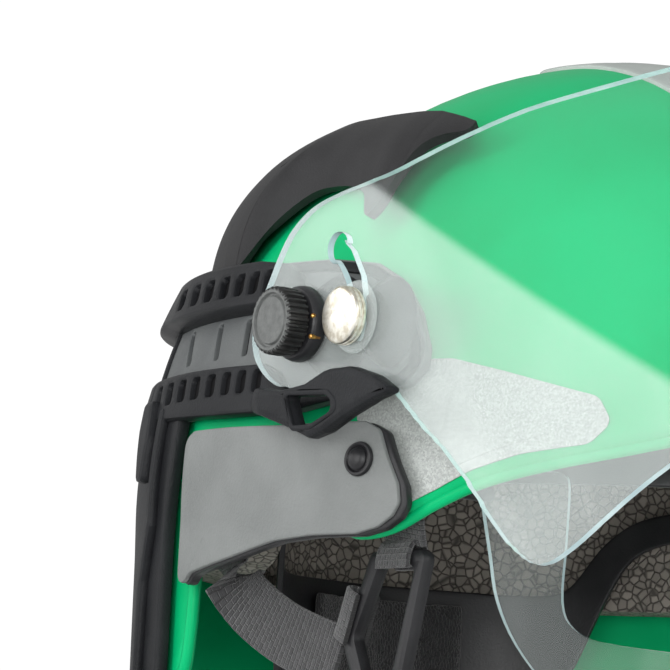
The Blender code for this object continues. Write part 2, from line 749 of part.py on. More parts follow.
def make_buckle():
    """Side-release buckle: socket, tongue and a release button."""
    length = (BUCKLE_HIGH - BUCKLE_LOW).length
    middle = length * 0.52
    socket = prism("buckle_socket", rounded([(0, -13, 3), (middle, -13, 3), (middle, 13, 3), (0, 13, 3)]),
                   -5.0, 5.0, "Z", BLACK)
    cut(socket, box("mouth", (middle - 22, -9, -2.6), (middle + 5, 9, 2.6)))
    cut(socket, prism("button well", rounded([(6, -5, 2), (16, -5, 2), (16, 5, 2), (6, 5, 2)]), 1.5, 9, "Z"))
    tongue = prism("buckle_tongue", rounded([
        (middle + GAP, -13, 3), (length, -13, 3), (length, 13, 3), (middle + GAP, 13, 3),
    ]), -4.5, 4.5, "Z", BLACK)
    join(tongue, box("blade", (middle - 20, -8, -2.0), (middle + 3, 8, 2.0)))
    button = prism("buckle_button", rounded([
        (6.4, -4.6, 1.8), (15.6, -4.6, 1.8), (15.6, 4.6, 1.8), (6.4, 4.6, 1.8),
    ]), 3.8, 7.2, "Z", GREY)
    for part in (socket, tongue, button):
        along_buckle(part)
        smooth(part)
    return socket, tongue, button


def make_chin_pad():
    """Padded sleeve round the strap under the chin."""
    outline = rounded([(-28, -126.5, 2), (22, -126.5, 2), (22, -112, 4), (-28, -112, 4)])
    pad = prism("chin_pad", outline, -62, -30, "Y", PADDING)
    cut(pad, box("strap tunnel", (-40, -56, -123.8), (40, -36, -119.2)))
    smooth(pad)
    return pad


# ---------------------------------------------------------------- assembly

def make_pairs():
    """Everything that comes once on each side, modelled on the right and mirrored."""
    makers = (
        make_side_frame, make_nape_strut, make_cover_plate, make_cover_stud, make_decal,
        make_pivot_post, make_collar, make_knob, make_visor_stud, make_washer, make_shield_pin,
        make_front_strap, make_rear_strap, make_divider,
    )
    for maker in makers:
        right = maker()
        mirrored(right, right.name.replace("right", "left"))
    for side in (-1, 1):
        knob = bpy.data.objects["clamp_knob_right" if side < 0 else "clamp_knob_left"]
        set_origin(knob, (side * (VISOR_HALF + 4.9), PIVOT_Y, PIVOT_Z))


def main():
    clear_scene()
    make_shell()
    make_top_plate()
    make_hood()
    make_rear_frame()
    make_visor()
    make_liner()
    make_headband()
    make_nape_cradle()
    make_ratchet_housing()
    make_ratchet_knob()
    make_pads()
    make_eye_shield()
    make_chin_straps()
    make_buckle()
    make_chin_pad()
    make_pairs()


main()
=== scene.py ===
# %% [markdown]
# # A forestry helmet, dressed for the camera
#
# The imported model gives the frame: every body, joint and size.  This file only gives it its looks.
# Each part gets a finer mesh or a better finish, and each one rides on the body that carries it.
# Sizes are in millimetres, because helmet parts are drawn that way, and turn into metres on the way out.

import math

import bmesh
import bpy
from mathutils import Matrix, Vector
from mathutils.geometry import delaunay_2d_cdt


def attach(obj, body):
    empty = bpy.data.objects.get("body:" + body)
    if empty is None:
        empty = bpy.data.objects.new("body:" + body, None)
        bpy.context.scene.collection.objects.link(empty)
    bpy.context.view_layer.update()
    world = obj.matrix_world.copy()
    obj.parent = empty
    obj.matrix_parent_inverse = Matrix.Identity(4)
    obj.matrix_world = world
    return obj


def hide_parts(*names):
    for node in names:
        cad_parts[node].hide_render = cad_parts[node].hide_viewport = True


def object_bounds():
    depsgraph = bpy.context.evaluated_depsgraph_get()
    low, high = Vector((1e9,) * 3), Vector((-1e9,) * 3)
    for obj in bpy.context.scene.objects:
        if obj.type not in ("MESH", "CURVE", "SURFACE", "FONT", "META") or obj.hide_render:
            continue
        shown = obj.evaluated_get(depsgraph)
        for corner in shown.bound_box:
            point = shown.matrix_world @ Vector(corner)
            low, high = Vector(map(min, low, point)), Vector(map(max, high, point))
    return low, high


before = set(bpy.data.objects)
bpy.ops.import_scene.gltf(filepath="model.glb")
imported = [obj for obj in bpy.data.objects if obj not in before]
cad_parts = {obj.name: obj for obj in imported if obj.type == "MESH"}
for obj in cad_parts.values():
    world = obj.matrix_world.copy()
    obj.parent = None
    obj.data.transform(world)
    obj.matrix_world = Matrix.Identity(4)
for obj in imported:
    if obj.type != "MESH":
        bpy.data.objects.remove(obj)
cad_box = [list(corner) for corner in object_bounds()]
MM = 0.001
print("frame size in mm:", [round((high - low) / MM) for low, high in zip(*cad_box)])

# %% [markdown]
# ## Camera, light and floor
#
# A long lens a metre and a half away keeps the parallel lines parallel.  The camera looks slightly up
# under the rim from the front right corner, and leans a little.  The point it aims at is on the shell's
# right rear, so the crown and the brow run out of view.

# %% Camera
AROUND, ABOVE, LEAN = math.radians(35.0), math.radians(-6.5), math.radians(-3.0)
DISTANCE = 1500.0
LENS = 277.0
AIM_ACROSS, AIM_UP = -77.0, 59.9


def camera_axes():
    """Right, up and backward directions of the leaning camera."""
    back = Vector((-math.sin(AROUND) * math.cos(ABOVE), -math.cos(AROUND) * math.cos(ABOVE), math.sin(ABOVE)))
    right = Vector((math.cos(AROUND), -math.sin(AROUND), 0.0))
    up = back.cross(right)
    lean_right = right * math.cos(LEAN) - up * math.sin(LEAN)
    lean_up = right * math.sin(LEAN) + up * math.cos(LEAN)
    return lean_right, lean_up, back


right_way, up_way, back_way = camera_axes()
camera = bpy.data.objects.new("camera", bpy.data.cameras.new("camera"))
bpy.context.scene.collection.objects.link(camera)
camera.data.lens = LENS
camera.data.sensor_width = 36.0
camera.data.clip_start = 0.05
turn = Matrix((right_way, up_way, back_way)).transposed().to_4x4()
eye = right_way * AIM_ACROSS + up_way * AIM_UP + back_way * DISTANCE
camera.matrix_world = Matrix.Translation(eye * MM) @ turn
bpy.context.scene.camera = camera
bpy.context.scene.view_settings.view_transform = "Standard"
print("camera stands at", [round(value) for value in eye], "mm")

# %% Floor
floor_size = 3.0
floor_mesh = bpy.data.meshes.new("floor")
corners = [(-1, -1), (1, -1), (1, 1), (-1, 1)]
level = cad_box[0][2] - 0.001
floor_mesh.from_pydata([(a * floor_size, b * floor_size, level) for a, b in corners], [], [(0, 1, 2, 3)])
floor = bpy.data.objects.new("floor", floor_mesh)
bpy.context.scene.collection.objects.link(floor)
pale = bpy.data.materials.new("pale floor")
pale.use_nodes = True
pale.node_tree.nodes["Principled BSDF"].inputs["Base Color"].default_value = (0.85, 0.85, 0.85, 1.0)
pale.node_tree.nodes["Principled BSDF"].inputs["Roughness"].default_value = 0.7
floor_mesh.materials.append(pale)
print("floor lies at", round(level / MM), "mm")


# %% Lights
def area_light(name, place, size, power):
    """A square soft box that faces the helmet."""
    data = bpy.data.lights.new(name, "AREA")
    data.shape = "SQUARE"
    data.size = size
    data.energy = power
    light = bpy.data.objects.new(name, data)
    bpy.context.scene.collection.objects.link(light)
    light.location = place
    light.rotation_euler = (-Vector(place)).to_track_quat("-Z", "Y").to_euler()
    return light


area_light("key box", (-1.3, -0.5, 1.2), size=1.0, power=8.0)
area_light("front box", (0.2, -1.9, 0.5), size=1.2, power=8.0)
area_light("rear box", (-1.2, 1.2, 0.5), size=0.9, power=6.0)
area_light("low fill", (-1.05, -1.2, 0.12), size=0.5, power=12.0)
area_light("side box", (-1.7, 0.1, 0.3), size=0.8, power=10.0)

world = bpy.data.worlds.new("white studio")
bpy.context.scene.world = world
world.use_nodes = True
tree = world.node_tree
tree.nodes.clear()
seen = tree.nodes.new("ShaderNodeBackground")
seen.label = "white behind the helmet"
seen.inputs["Color"].default_value = (1.0, 1.0, 1.0, 1.0)
seen.inputs["Strength"].default_value = 1.05
lit = tree.nodes.new("ShaderNodeBackground")
lit.label = "soft light from all round"
lit.inputs["Color"].default_value = (1.0, 1.0, 1.0, 1.0)
lit.inputs["Strength"].default_value = 0.5
ray = tree.nodes.new("ShaderNodeLightPath")
choice = tree.nodes.new("ShaderNodeMixShader")
world_out = tree.nodes.new("ShaderNodeOutputWorld")
for step, node in enumerate((ray, lit, seen, choice, world_out)):
    node.location = (220 * step, 0)
tree.links.new(ray.outputs["Is Camera Ray"], choice.inputs[0])
tree.links.new(lit.outputs["Background"], choice.inputs[1])
tree.links.new(seen.outputs["Background"], choice.inputs[2])
tree.links.new(choice.outputs["Shader"], world_out.inputs["Surface"])

# %% [markdown]
# ## The dome that everything follows
#
# A helmet shell is drawn as half an ellipsoid over a short straight wall.  Almost every other part is
# laid on it at some distance, so one function that gives a point over the dome places them all.
# A turn of 0 degrees is the brow, 90 the wearer's right and 180 the nape.

# %% Dome and small helpers
HALF_WIDTH, FRONT_REACH, REAR_REACH, CROWN = 120.0, 148.0, 152.0, 138.0
PIVOT = Vector((0.0, -29.0, 47.5))
STUD = Vector((0.0, -53.0, 48.0))
SIDE_RATE = 2.45


def dome(turn_degrees, height, lift=0.0):
    """Point over the dome in millimetres."""
    angle = math.radians(turn_degrees)
    reach = FRONT_REACH if math.cos(angle) > 0 else REAR_REACH
    climb = max(height, 0.0)
    width = math.sqrt(max(0.0, 1.0 - (climb / CROWN) ** 2))
    point = Vector((-HALF_WIDTH * math.sin(angle) * width, -reach * math.cos(angle) * width, height))
    slope = Vector((point.x / HALF_WIDTH ** 2, point.y / reach ** 2, climb / CROWN ** 2))
    return point + slope.normalized() * lift


def spline(points, count):
    """Smooth run through a few points of any length, each pair of them split count times."""
    run = []
    last = len(points) - 1
    for index in range(last):
        window = [points[max(index - 1, 0)], points[index], points[index + 1], points[min(index + 2, last)]]
        for step in range(count):
            t = step / count
            square, cube = t * t, t ** 3
            weights = (
                -t + 2 * square - cube,
                2 - 5 * square + 3 * cube,
                t + 4 * square - 3 * cube,
                cube - square,
            )
            axes = range(len(points[0]))
            run.append(tuple(sum(w * p[axis] for w, p in zip(weights, window)) / 2 for axis in axes))
    run.append(tuple(points[last]))
    return run


def rounded(corners, steps=5):
    """Outline from (a, b, radius) corners, each corner turned into an arc."""
    points = []
    count = len(corners)
    for index, (a, b, radius) in enumerate(corners):
        here = Vector((a, b))
        if radius == 0:
            points.append(here)
            continue
        back = (Vector(corners[index - 1][:2]) - here).normalized()
        ahead = (Vector(corners[(index + 1) % count][:2]) - here).normalized()
        half = back.angle(ahead) / 2
        centre = here + (back + ahead).normalized() * (radius / math.sin(half))
        start = here + back * (radius / math.tan(half)) - centre
        sweep = start.angle_signed(here + ahead * (radius / math.tan(half)) - centre)
        for step in range(steps + 1):
            points.append(centre + Matrix.Rotation(-sweep * step / steps, 2) @ start)
    return points


def new_piece(name, mesh, material, body="helmet", nodes=()):
    """Put a mesh into the scene as a piece that rides on a body and stands for CAD nodes."""
    piece = bpy.data.objects.new(name, mesh)
    bpy.context.scene.collection.objects.link(piece)
    if not mesh.materials:
        mesh.materials.append(material)
    if nodes:
        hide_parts(*nodes)
    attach(piece, body)
    return piece


def mesh_of_rows(name, rows, round_way=False, pole=None):
    """Mesh of quads from rows of points in millimetres."""
    maker = bmesh.new()
    grid = [[maker.verts.new(Vector(point) * MM) for point in row] for row in rows]
    count = len(rows[0])
    for lower, upper in zip(grid, grid[1:]):
        for index in range(count if round_way else count - 1):
            after = (index + 1) % count
            maker.faces.new((lower[index], lower[after], upper[after], upper[index]))
    if pole is not None:
        top = maker.verts.new(Vector(pole) * MM)
        for index in range(count):
            maker.faces.new((grid[-1][index], grid[-1][(index + 1) % count], top))
    mesh = bpy.data.meshes.new(name)
    maker.to_mesh(mesh)
    maker.free()
    mesh.shade_smooth()
    return mesh


def flipped(mesh, name):
    """The wearer's left twin of a mesh on the right."""
    maker = bmesh.new()
    maker.from_mesh(mesh)
    bmesh.ops.scale(maker, vec=(-1.0, 1.0, 1.0), verts=maker.verts)
    bmesh.ops.reverse_faces(maker, faces=maker.faces)
    twin = bpy.data.meshes.new(name)
    maker.to_mesh(twin)
    maker.free()
    for material in mesh.materials:
        twin.materials.append(material)
    return twin


def stack(piece, wall=0.0, edge=0.0, levels=0, wall_side=-1.0, limit=40.0):
    """The finishing stack: a wall thickness, rounded edges and subdivision, in that order."""
    if wall:
        solid = piece.modifiers.new("Wall", "SOLIDIFY")
        solid.thickness = wall * MM
        solid.offset = wall_side
    if edge:
        bevel = piece.modifiers.new("Rounded edges", "BEVEL")
        bevel.width = edge * MM
        bevel.segments = 3
        bevel.limit_method = "ANGLE"
        bevel.angle_limit = math.radians(limit)
    if levels:
        soft = piece.modifiers.new("Smooth skin", "SUBSURF")
        soft.levels = levels
        soft.render_levels = levels
    return piece


def settle(thing):
    """Apply an object's stack to its mesh."""
    graph = bpy.context.evaluated_depsgraph_get()
    shaped = bpy.data.meshes.new_from_object(thing.evaluated_get(graph))
    thing.modifiers.clear()
    thing.data = shaped
    return thing


print("dome: crown at", dome(0, CROWN), "and side at", dome(90, 0))

# %% [markdown]
# ## Laying flat work on the dome
#
# Frames, plates and films are cut from flat outlines and then bent over the shell.  Blender's 2D curve
# does the flat part well: it fills an outline, leaves the holes open and rounds every edge with its
# bevel.  The flat piece is sliced into a fine grid, so that it can bend, and each point is lifted onto
# the dome.  The slices follow a grid because long fan triangles would leave creases.

# %% Bending helpers
def level_with(turn_guess, height, lift, target_y=None):
    """Turn and height whose point over the dome has the given y and z."""
    turn_here, height_here = turn_guess, height
    for _ in range(8):
        point = dome(turn_here, height_here, lift)
        height_here += height - point.z
        if target_y is not None:
            turn_here += (target_y - point.y) / 2.6
    return turn_here, height_here


def beside(a, b, depth, lift):
    """Over the wearer's right side: a and b are y and z as seen from the side."""
    turn_here, height_here = level_with(90.0 + a / SIDE_RATE, b, lift, a)
    return dome(turn_here, height_here, lift + depth)


def around(a, b, depth, lift):
    """Round the back: a is the distance from the nape, round the shell, and b the height."""
    turn_here, height_here = level_with(180.0 + a / SIDE_RATE, b, lift)
    return dome(turn_here, height_here, lift + depth)


def above(a, b, depth, lift):
    """Over the crown: a and b are x and y as seen from above."""
    reach = FRONT_REACH if b < 0 else REAR_REACH
    height = CROWN * math.sqrt(max(0.0, 1.0 - (a / HALF_WIDTH) ** 2 - (b / reach) ** 2))
    slope = Vector((a / HALF_WIDTH ** 2, b / reach ** 2, height / CROWN ** 2)).normalized()
    return Vector((a, b, height)) + slope * (lift + depth)


def flat_work(outlines, thickness, edge, cell):
    """Filled outline with rounded edges, sliced into a grid; the first outline is the outside."""
    data = bpy.data.curves.new("flat work", "CURVE")
    data.dimensions = "2D"
    data.fill_mode = "BOTH"
    data.extrude = thickness / 2 - edge
    data.bevel_depth = edge
    data.bevel_resolution = 1
    data.offset = -edge
    for outline in outlines:
        run = data.splines.new("POLY")
        run.points.add(len(outline) - 1)
        for point, place in zip(run.points, outline):
            point.co = (place[0], place[1], 0.0, 1.0)
        run.use_cyclic_u = True
    drawn = bpy.data.objects.new("flat work", data)
    bpy.context.scene.collection.objects.link(drawn)
    graph = bpy.context.evaluated_depsgraph_get()
    flat = bpy.data.meshes.new_from_object(drawn.evaluated_get(graph))
    bpy.data.objects.remove(drawn)
    maker = bmesh.new()
    maker.from_mesh(flat)
    bmesh.ops.remove_doubles(maker, verts=maker.verts, dist=0.001)
    for axis in (0, 1):
        low = min(vert.co[axis] for vert in maker.verts)
        high = max(vert.co[axis] for vert in maker.verts)
        normal = Vector((1, 0, 0)) if axis == 0 else Vector((0, 1, 0))
        for step in range(1, int((high - low) / cell) + 1):
            everything = list(maker.verts) + list(maker.edges) + list(maker.faces)
            cut = normal * (low + step * cell)
            bmesh.ops.bisect_plane(maker, geom=everything, plane_co=cut, plane_no=normal)
    return maker


def lay(name, outlines, lift, thickness, edge=0.6, cell=4.0, place=beside):
    """Flat work laid over the dome; lift is the distance of its middle from the shell."""
    maker = flat_work(outlines, thickness, edge, cell)
    for vert in maker.verts:
        vert.co = place(vert.co.x, vert.co.y, vert.co.z, lift) * MM
    return finish_mesh(name, maker)


def finish_mesh(name, maker, limit=38.0):
    """Close a bmesh into a mesh whose faces point outwards and whose edges stay crisp."""
    bmesh.ops.recalc_face_normals(maker, faces=maker.faces)
    mesh = bpy.data.meshes.new(name)
    maker.to_mesh(mesh)
    maker.free()
    mesh.shade_smooth()
    mesh.set_sharp_from_angle(angle=math.radians(limit))
    return mesh


def merged(name, meshes):
    """Several meshes as one, with their materials kept."""
    maker = bmesh.new()
    materials = []
    for mesh in meshes:
        start = len(materials)
        first = len(maker.faces)
        maker.from_mesh(mesh)
        maker.faces.ensure_lookup_table()
        for face in maker.faces[first:]:
            face.material_index += start
        materials += list(mesh.materials)
    whole = bpy.data.meshes.new(name)
    maker.to_mesh(whole)
    maker.free()
    for material in materials:
        whole.materials.append(material)
    return whole


def tube(name, points, radius, closed=False):
    """Round bead or wire along points in millimetres."""
    data = bpy.data.curves.new(name, "CURVE")
    data.dimensions = "3D"
    data.bevel_depth = radius * MM
    data.bevel_resolution = 3
    data.use_fill_caps = not closed
    run = data.splines.new("POLY")
    run.points.add(len(points) - 1)
    for knot, place in zip(run.points, points):
        knot.co = (*(Vector(place) * MM), 1.0)
    run.use_cyclic_u = closed
    drawn = bpy.data.objects.new(name, data)
    bpy.context.scene.collection.objects.link(drawn)
    graph = bpy.context.evaluated_depsgraph_get()
    mesh = bpy.data.meshes.new_from_object(drawn.evaluated_get(graph))
    bpy.data.objects.remove(drawn)
    mesh.shade_smooth()
    return mesh


def turned(name, profile, place, steps=48, facing=-1):
    """Round part on an axis along X: the profile is (radius, x) pairs, spun by a Screw."""
    mesh = bpy.data.meshes.new(name)
    points = [(radius * MM, 0.0, along * MM) for radius, along in profile]
    mesh.from_pydata(points, [(index, index + 1) for index in range(len(points) - 1)], [])
    helper = bpy.data.objects.new(name, mesh)
    bpy.context.scene.collection.objects.link(helper)
    screw = helper.modifiers.new("Turned", "SCREW")
    screw.steps = steps
    screw.render_steps = steps
    screw.use_merge_vertices = True
    screw.merge_threshold = 0.00001
    settle(helper)
    maker = bmesh.new()
    maker.from_mesh(helper.data)
    bpy.data.objects.remove(helper)
    bmesh.ops.remove_doubles(maker, verts=maker.verts, dist=0.00001)
    tip = Matrix.Rotation(math.radians(90.0), 4, "Y")
    if facing < 0:
        tip = Matrix.Scale(-1, 4, (1, 0, 0)) @ tip
    bmesh.ops.transform(maker, matrix=Matrix.Translation(Vector(place) * MM) @ tip, verts=maker.verts)
    return finish_mesh(name, maker, 32.0)


def pair(name, mesh, material, bodies=("helmet", "helmet"), nodes=True):
    """A piece on each side of the helmet that replaces the CAD node of the same name."""
    stands_for = [[name + side] if nodes else [] for side in ("_right", "_left")]
    right = new_piece(name + "_right_look", mesh, material, bodies[0], stands_for[0])
    twin = flipped(right.data, name + "_left_look")
    left = new_piece(name + "_left_look", twin, material, bodies[1], stands_for[1])
    return right, left


print("bending ready: a point beside the ear is", beside(0.0, 0.0, 0.0, 5.0))

# %% [markdown]
# ## Finishes
#
# Every finish is a node material on Object coordinates, so it sits still when a part moves.  Moulded
# parts share one recipe with other numbers: a colour that wanders a little, a fine spark-eroded grain
# in the bump, and roughness that changes where hands have polished it.

# %% Node helper
def fresh(name):
    """A new material with an empty tree and an output; returns the material, its nodes and its links."""
    material = bpy.data.materials.new(name)
    material.use_nodes = True
    nodes, links = material.node_tree.nodes, material.node_tree.links
    nodes.clear()
    end = nodes.new("ShaderNodeOutputMaterial")
    end.label = "surface"
    end.location = (900, 0)
    return material, nodes, links, end


def srgb(red, green, blue):
    """Colour written as on a screen, 0 to 255, turned into the linear values that shaders need."""
    values = []
    for part in (red, green, blue):
        share = part / 255
        values.append(share / 12.92 if share <= 0.04045 else ((share + 0.055) / 1.055) ** 2.4)
    return (*values, 1.0)


# %% Moulded plastic
def moulded(name, dark, light, roughness, grain=1400.0, depth=0.25, patch=45.0, coat=0.0, gloss=0.3):
    """Moulded plastic: two shades that wander, a fine grain, and patches worn smoother."""
    material, nodes, links, end = fresh(name)
    where = nodes.new("ShaderNodeTexCoord")
    where.label = "on the part"
    where.location = (-900, 0)
    wander = nodes.new("ShaderNodeTexNoise")
    wander.label = "slow colour change"
    wander.location = (-650, 250)
    wander.inputs["Scale"].default_value = patch
    wander.inputs["Detail"].default_value = 4.0
    shades = nodes.new("ShaderNodeValToRGB")
    shades.label = "plastic shades"
    shades.location = (-400, 250)
    shades.color_ramp.elements[0].position = 0.35
    shades.color_ramp.elements[0].color = dark
    shades.color_ramp.elements[1].position = 0.65
    shades.color_ramp.elements[1].color = light
    pits = nodes.new("ShaderNodeTexNoise")
    pits.label = "spark grain"
    pits.location = (-650, -250)
    pits.inputs["Scale"].default_value = grain
    pits.inputs["Detail"].default_value = 3.0
    worn = nodes.new("ShaderNodeMapRange")
    worn.label = "worn patches"
    worn.location = (-400, 0)
    worn.inputs["From Min"].default_value = 0.3
    worn.inputs["From Max"].default_value = 0.7
    worn.inputs["To Min"].default_value = max(roughness - 0.07, 0.04)
    worn.inputs["To Max"].default_value = roughness + 0.07
    relief = nodes.new("ShaderNodeBump")
    relief.label = "grain height"
    relief.location = (-100, -250)
    relief.inputs["Strength"].default_value = depth
    relief.inputs["Distance"].default_value = 0.0004
    shader = nodes.new("ShaderNodeBsdfPrincipled")
    shader.label = "plastic"
    shader.location = (300, 0)
    shader.inputs["Specular IOR Level"].default_value = gloss
    shader.inputs["Coat Weight"].default_value = coat
    shader.inputs["Coat Roughness"].default_value = 0.06
    # Frames group the nodes by what they do.
    for label, members in (
        ("colour", (wander, shades)),
        ("grain and wear", (pits, worn, relief)),
    ):
        group = nodes.new("NodeFrame")
        group.label = label
        for member in members:
            member.parent = group
    links.new(where.outputs["Object"], wander.inputs["Vector"])
    links.new(where.outputs["Object"], pits.inputs["Vector"])
    links.new(wander.outputs["Fac"], shades.inputs["Fac"])
    links.new(wander.outputs["Fac"], worn.inputs["Value"])
    links.new(shades.outputs["Color"], shader.inputs["Base Color"])
    links.new(worn.outputs["Result"], shader.inputs["Roughness"])
    links.new(pits.outputs["Fac"], relief.inputs["Height"])
    links.new(relief.outputs["Normal"], shader.inputs["Normal"])
    links.new(shader.outputs["BSDF"], end.inputs["Surface"])
    return material


GREEN = moulded("green gloss shell", srgb(2, 160, 97), srgb(5, 172, 108), 0.42, 500.0, 0.04, 18.0, gloss=0.1)
HOOD_BLACK = moulded("black hood nylon", srgb(38, 38, 39), srgb(47, 47, 48), 0.5, 1500.0, 0.35, gloss=0.1)
FRAME_BLACK = moulded("black frame nylon", srgb(27, 28, 30), srgb(36, 37, 39), 0.4, 1500.0, 0.3, gloss=0.08)
# The panel is the frame's black nylon painted a lighter grey: painted light for the light that falls on it.
PANEL_PAINTED_LIGHT = moulded("frame nylon with painted light", srgb(74, 77, 78), srgb(88, 91, 91), 0.5, 1500.0, 0.3)
PLATE_GREY = moulded("grained ear plate", srgb(106, 109, 108), srgb(118, 121, 120), 0.55, 1100.0, 0.6)
TOP_GREY = moulded("light grey top plate", srgb(150, 158, 154), srgb(166, 172, 168), 0.45, 1500.0, 0.2)
SOFT_BLACK = moulded("black fitting nylon", srgb(26, 26, 28), srgb(36, 36, 38), 0.4, 1500.0, 0.2)
KNOB_BLACK = moulded("black knob flutes", srgb(22, 22, 22), srgb(38, 38, 38), 0.42, 900.0, 0.4, 200.0)
# Near-black painted shade for the slot floors and for the sheet behind the seat's holes.
SLOT_PAINTED_SHADE = moulded("painted shade behind the slots", srgb(10, 10, 11), srgb(15, 15, 16), 0.7, 1500.0, 0.1, gloss=0.1)
# Plain grey for the knob's face rings.
KNOB_FACE = moulded("grey knob face", srgb(82, 84, 83), srgb(98, 100, 99), 0.55, 900.0, 0.6, 400.0)
print("moulded finishes:", len(bpy.data.materials))

# %% [markdown]
# Polycarbonate is clear, but a used and half-wrapped visor is not.  Light passes through most of it,
# a thin white haze stays everywhere, and behind a slanting line the rear of each cheek is milky.
# The sheet's cut edge gathers light and looks bright, so the edge has a material of its own, a pale colour
# that paints that light in.

# %% Clear sheet and its edge
def clear_sheet(name, haze, milk=0.0, middle=(0.0, 0.0), slant=0.0, turned_up=0.0):
    """Clear sheet with a haze; milk is the extra white behind a slanting line through the middle."""
    material, nodes, links, end = fresh(name)
    where = nodes.new("ShaderNodeTexCoord")
    where.label = "on the sheet"
    where.location = (-1300, 0)
    line = nodes.new("ShaderNodeMapping")
    line.label = "slanting line"
    line.vector_type = "TEXTURE"
    line.location = (-1100, 0)
    line.inputs["Location"].default_value = (0.0, middle[0] * MM, middle[1] * MM)
    line.inputs["Rotation"].default_value = (slant + turned_up, 0.0, 0.0)
    apart = nodes.new("ShaderNodeSeparateXYZ")
    apart.label = "distance from the line"
    apart.location = (-900, 0)
    behind = nodes.new("ShaderNodeMapRange")
    behind.label = "milky behind the line"
    behind.location = (-700, 0)
    behind.inputs["From Min"].default_value = -0.001
    behind.inputs["From Max"].default_value = 0.0015
    behind.inputs["To Min"].default_value = haze
    behind.inputs["To Max"].default_value = haze + milk
    rub = nodes.new("ShaderNodeTexNoise")
    rub.label = "cloudy wear"
    rub.location = (-900, -300)
    rub.inputs["Scale"].default_value = 35.0
    rub.inputs["Detail"].default_value = 6.0
    cloud = nodes.new("ShaderNodeMapRange")
    cloud.label = "how cloudy"
    cloud.location = (-700, -300)
    cloud.inputs["To Min"].default_value = 0.75
    cloud.inputs["To Max"].default_value = 1.25
    veil = nodes.new("ShaderNodeMath")
    veil.label = "white veil"
    veil.operation = "MULTIPLY"
    veil.location = (-450, -100)
    # At a slant the sheet mixes towards the white skin: partly the skin's own reflection, partly painted
    # white sheen.
    graze = nodes.new("ShaderNodeLayerWeight")
    graze.label = "how slanted"
    graze.location = (-650, 200)
    graze.inputs["Blend"].default_value = 0.12
    gloss = nodes.new("ShaderNodeMapRange")
    gloss.label = "painted white sheen at a slant"
    gloss.location = (-430, 200)
    gloss.inputs["To Min"].default_value = 0.004
    gloss.inputs["To Max"].default_value = 0.14
    total = nodes.new("ShaderNodeMath")
    total.label = "veil and painted sheen"
    total.operation = "ADD"
    total.use_clamp = True
    total.location = (-200, 0)
    glassy = nodes.new("ShaderNodeBsdfTransparent")
    glassy.label = "clear"
    glassy.location = (100, 150)
    glassy.inputs["Color"].default_value = (0.985, 0.993, 0.99, 1.0)
    skin = nodes.new("ShaderNodeBsdfPrincipled")
    skin.label = "white skin for haze and painted sheen"
    skin.location = (100, 0)
    skin.inputs["Base Color"].default_value = srgb(232, 240, 238)
    skin.inputs["Roughness"].default_value = 0.12
    blend = nodes.new("ShaderNodeMixShader")
    blend.label = "clear to milky"
    blend.location = (600, 0)
    for label, members in (
        ("milky line", (line, apart, behind)),
        ("cloudy wear and veil", (rub, cloud, veil)),
        ("reflection and painted sheen at a slant", (graze, gloss)),
        ("clear and white", (glassy, skin, blend)),
    ):
        group = nodes.new("NodeFrame")
        group.label = label
        for member in members:
            member.parent = group
    links.new(where.outputs["Object"], line.inputs["Vector"])
    links.new(line.outputs["Vector"], apart.inputs["Vector"])
    links.new(apart.outputs["Y"], behind.inputs["Value"])
    links.new(where.outputs["Object"], rub.inputs["Vector"])
    links.new(rub.outputs["Fac"], cloud.inputs["Value"])
    links.new(behind.outputs["Result"], veil.inputs[0])
    links.new(cloud.outputs["Result"], veil.inputs[1])
    links.new(veil.outputs["Value"], total.inputs[0])
    links.new(graze.outputs["Facing"], gloss.inputs["Value"])
    links.new(gloss.outputs["Result"], total.inputs[1])
    links.new(total.outputs["Value"], blend.inputs["Fac"])
    links.new(glassy.outputs["BSDF"], blend.inputs[1])
    links.new(skin.outputs["BSDF"], blend.inputs[2])
    links.new(blend.outputs["Shader"], end.inputs["Surface"])
    return material


RAISED = math.radians(35.0)
LINE_LEAN = math.atan2(41.0, 82.0)
line_start = Matrix.Rotation(-RAISED, 3, "X") @ Vector((0.0, -64.5, -30.0)) + PIVOT
VISOR_CLEAR = clear_sheet("visor sheet", 0.008, 0.15, (line_start.y, line_start.z), -LINE_LEAN, -RAISED)
SHIELD_CLEAR = clear_sheet("eye shield sheet", 0.04)
WASHER_CLEAR = clear_sheet("clear washer", 0.16)
# Painted light: the clear cut edge gets a pale colour for the light it gathers.
SHEET_EDGE_LIGHT = moulded("painted light on the cut edge", srgb(176, 200, 204), srgb(206, 226, 228), 0.15, 300.0, 0.05, 90.0,
                     coat=0.4)
print("visor haze line passes through", [round(value, 1) for value in line_start])


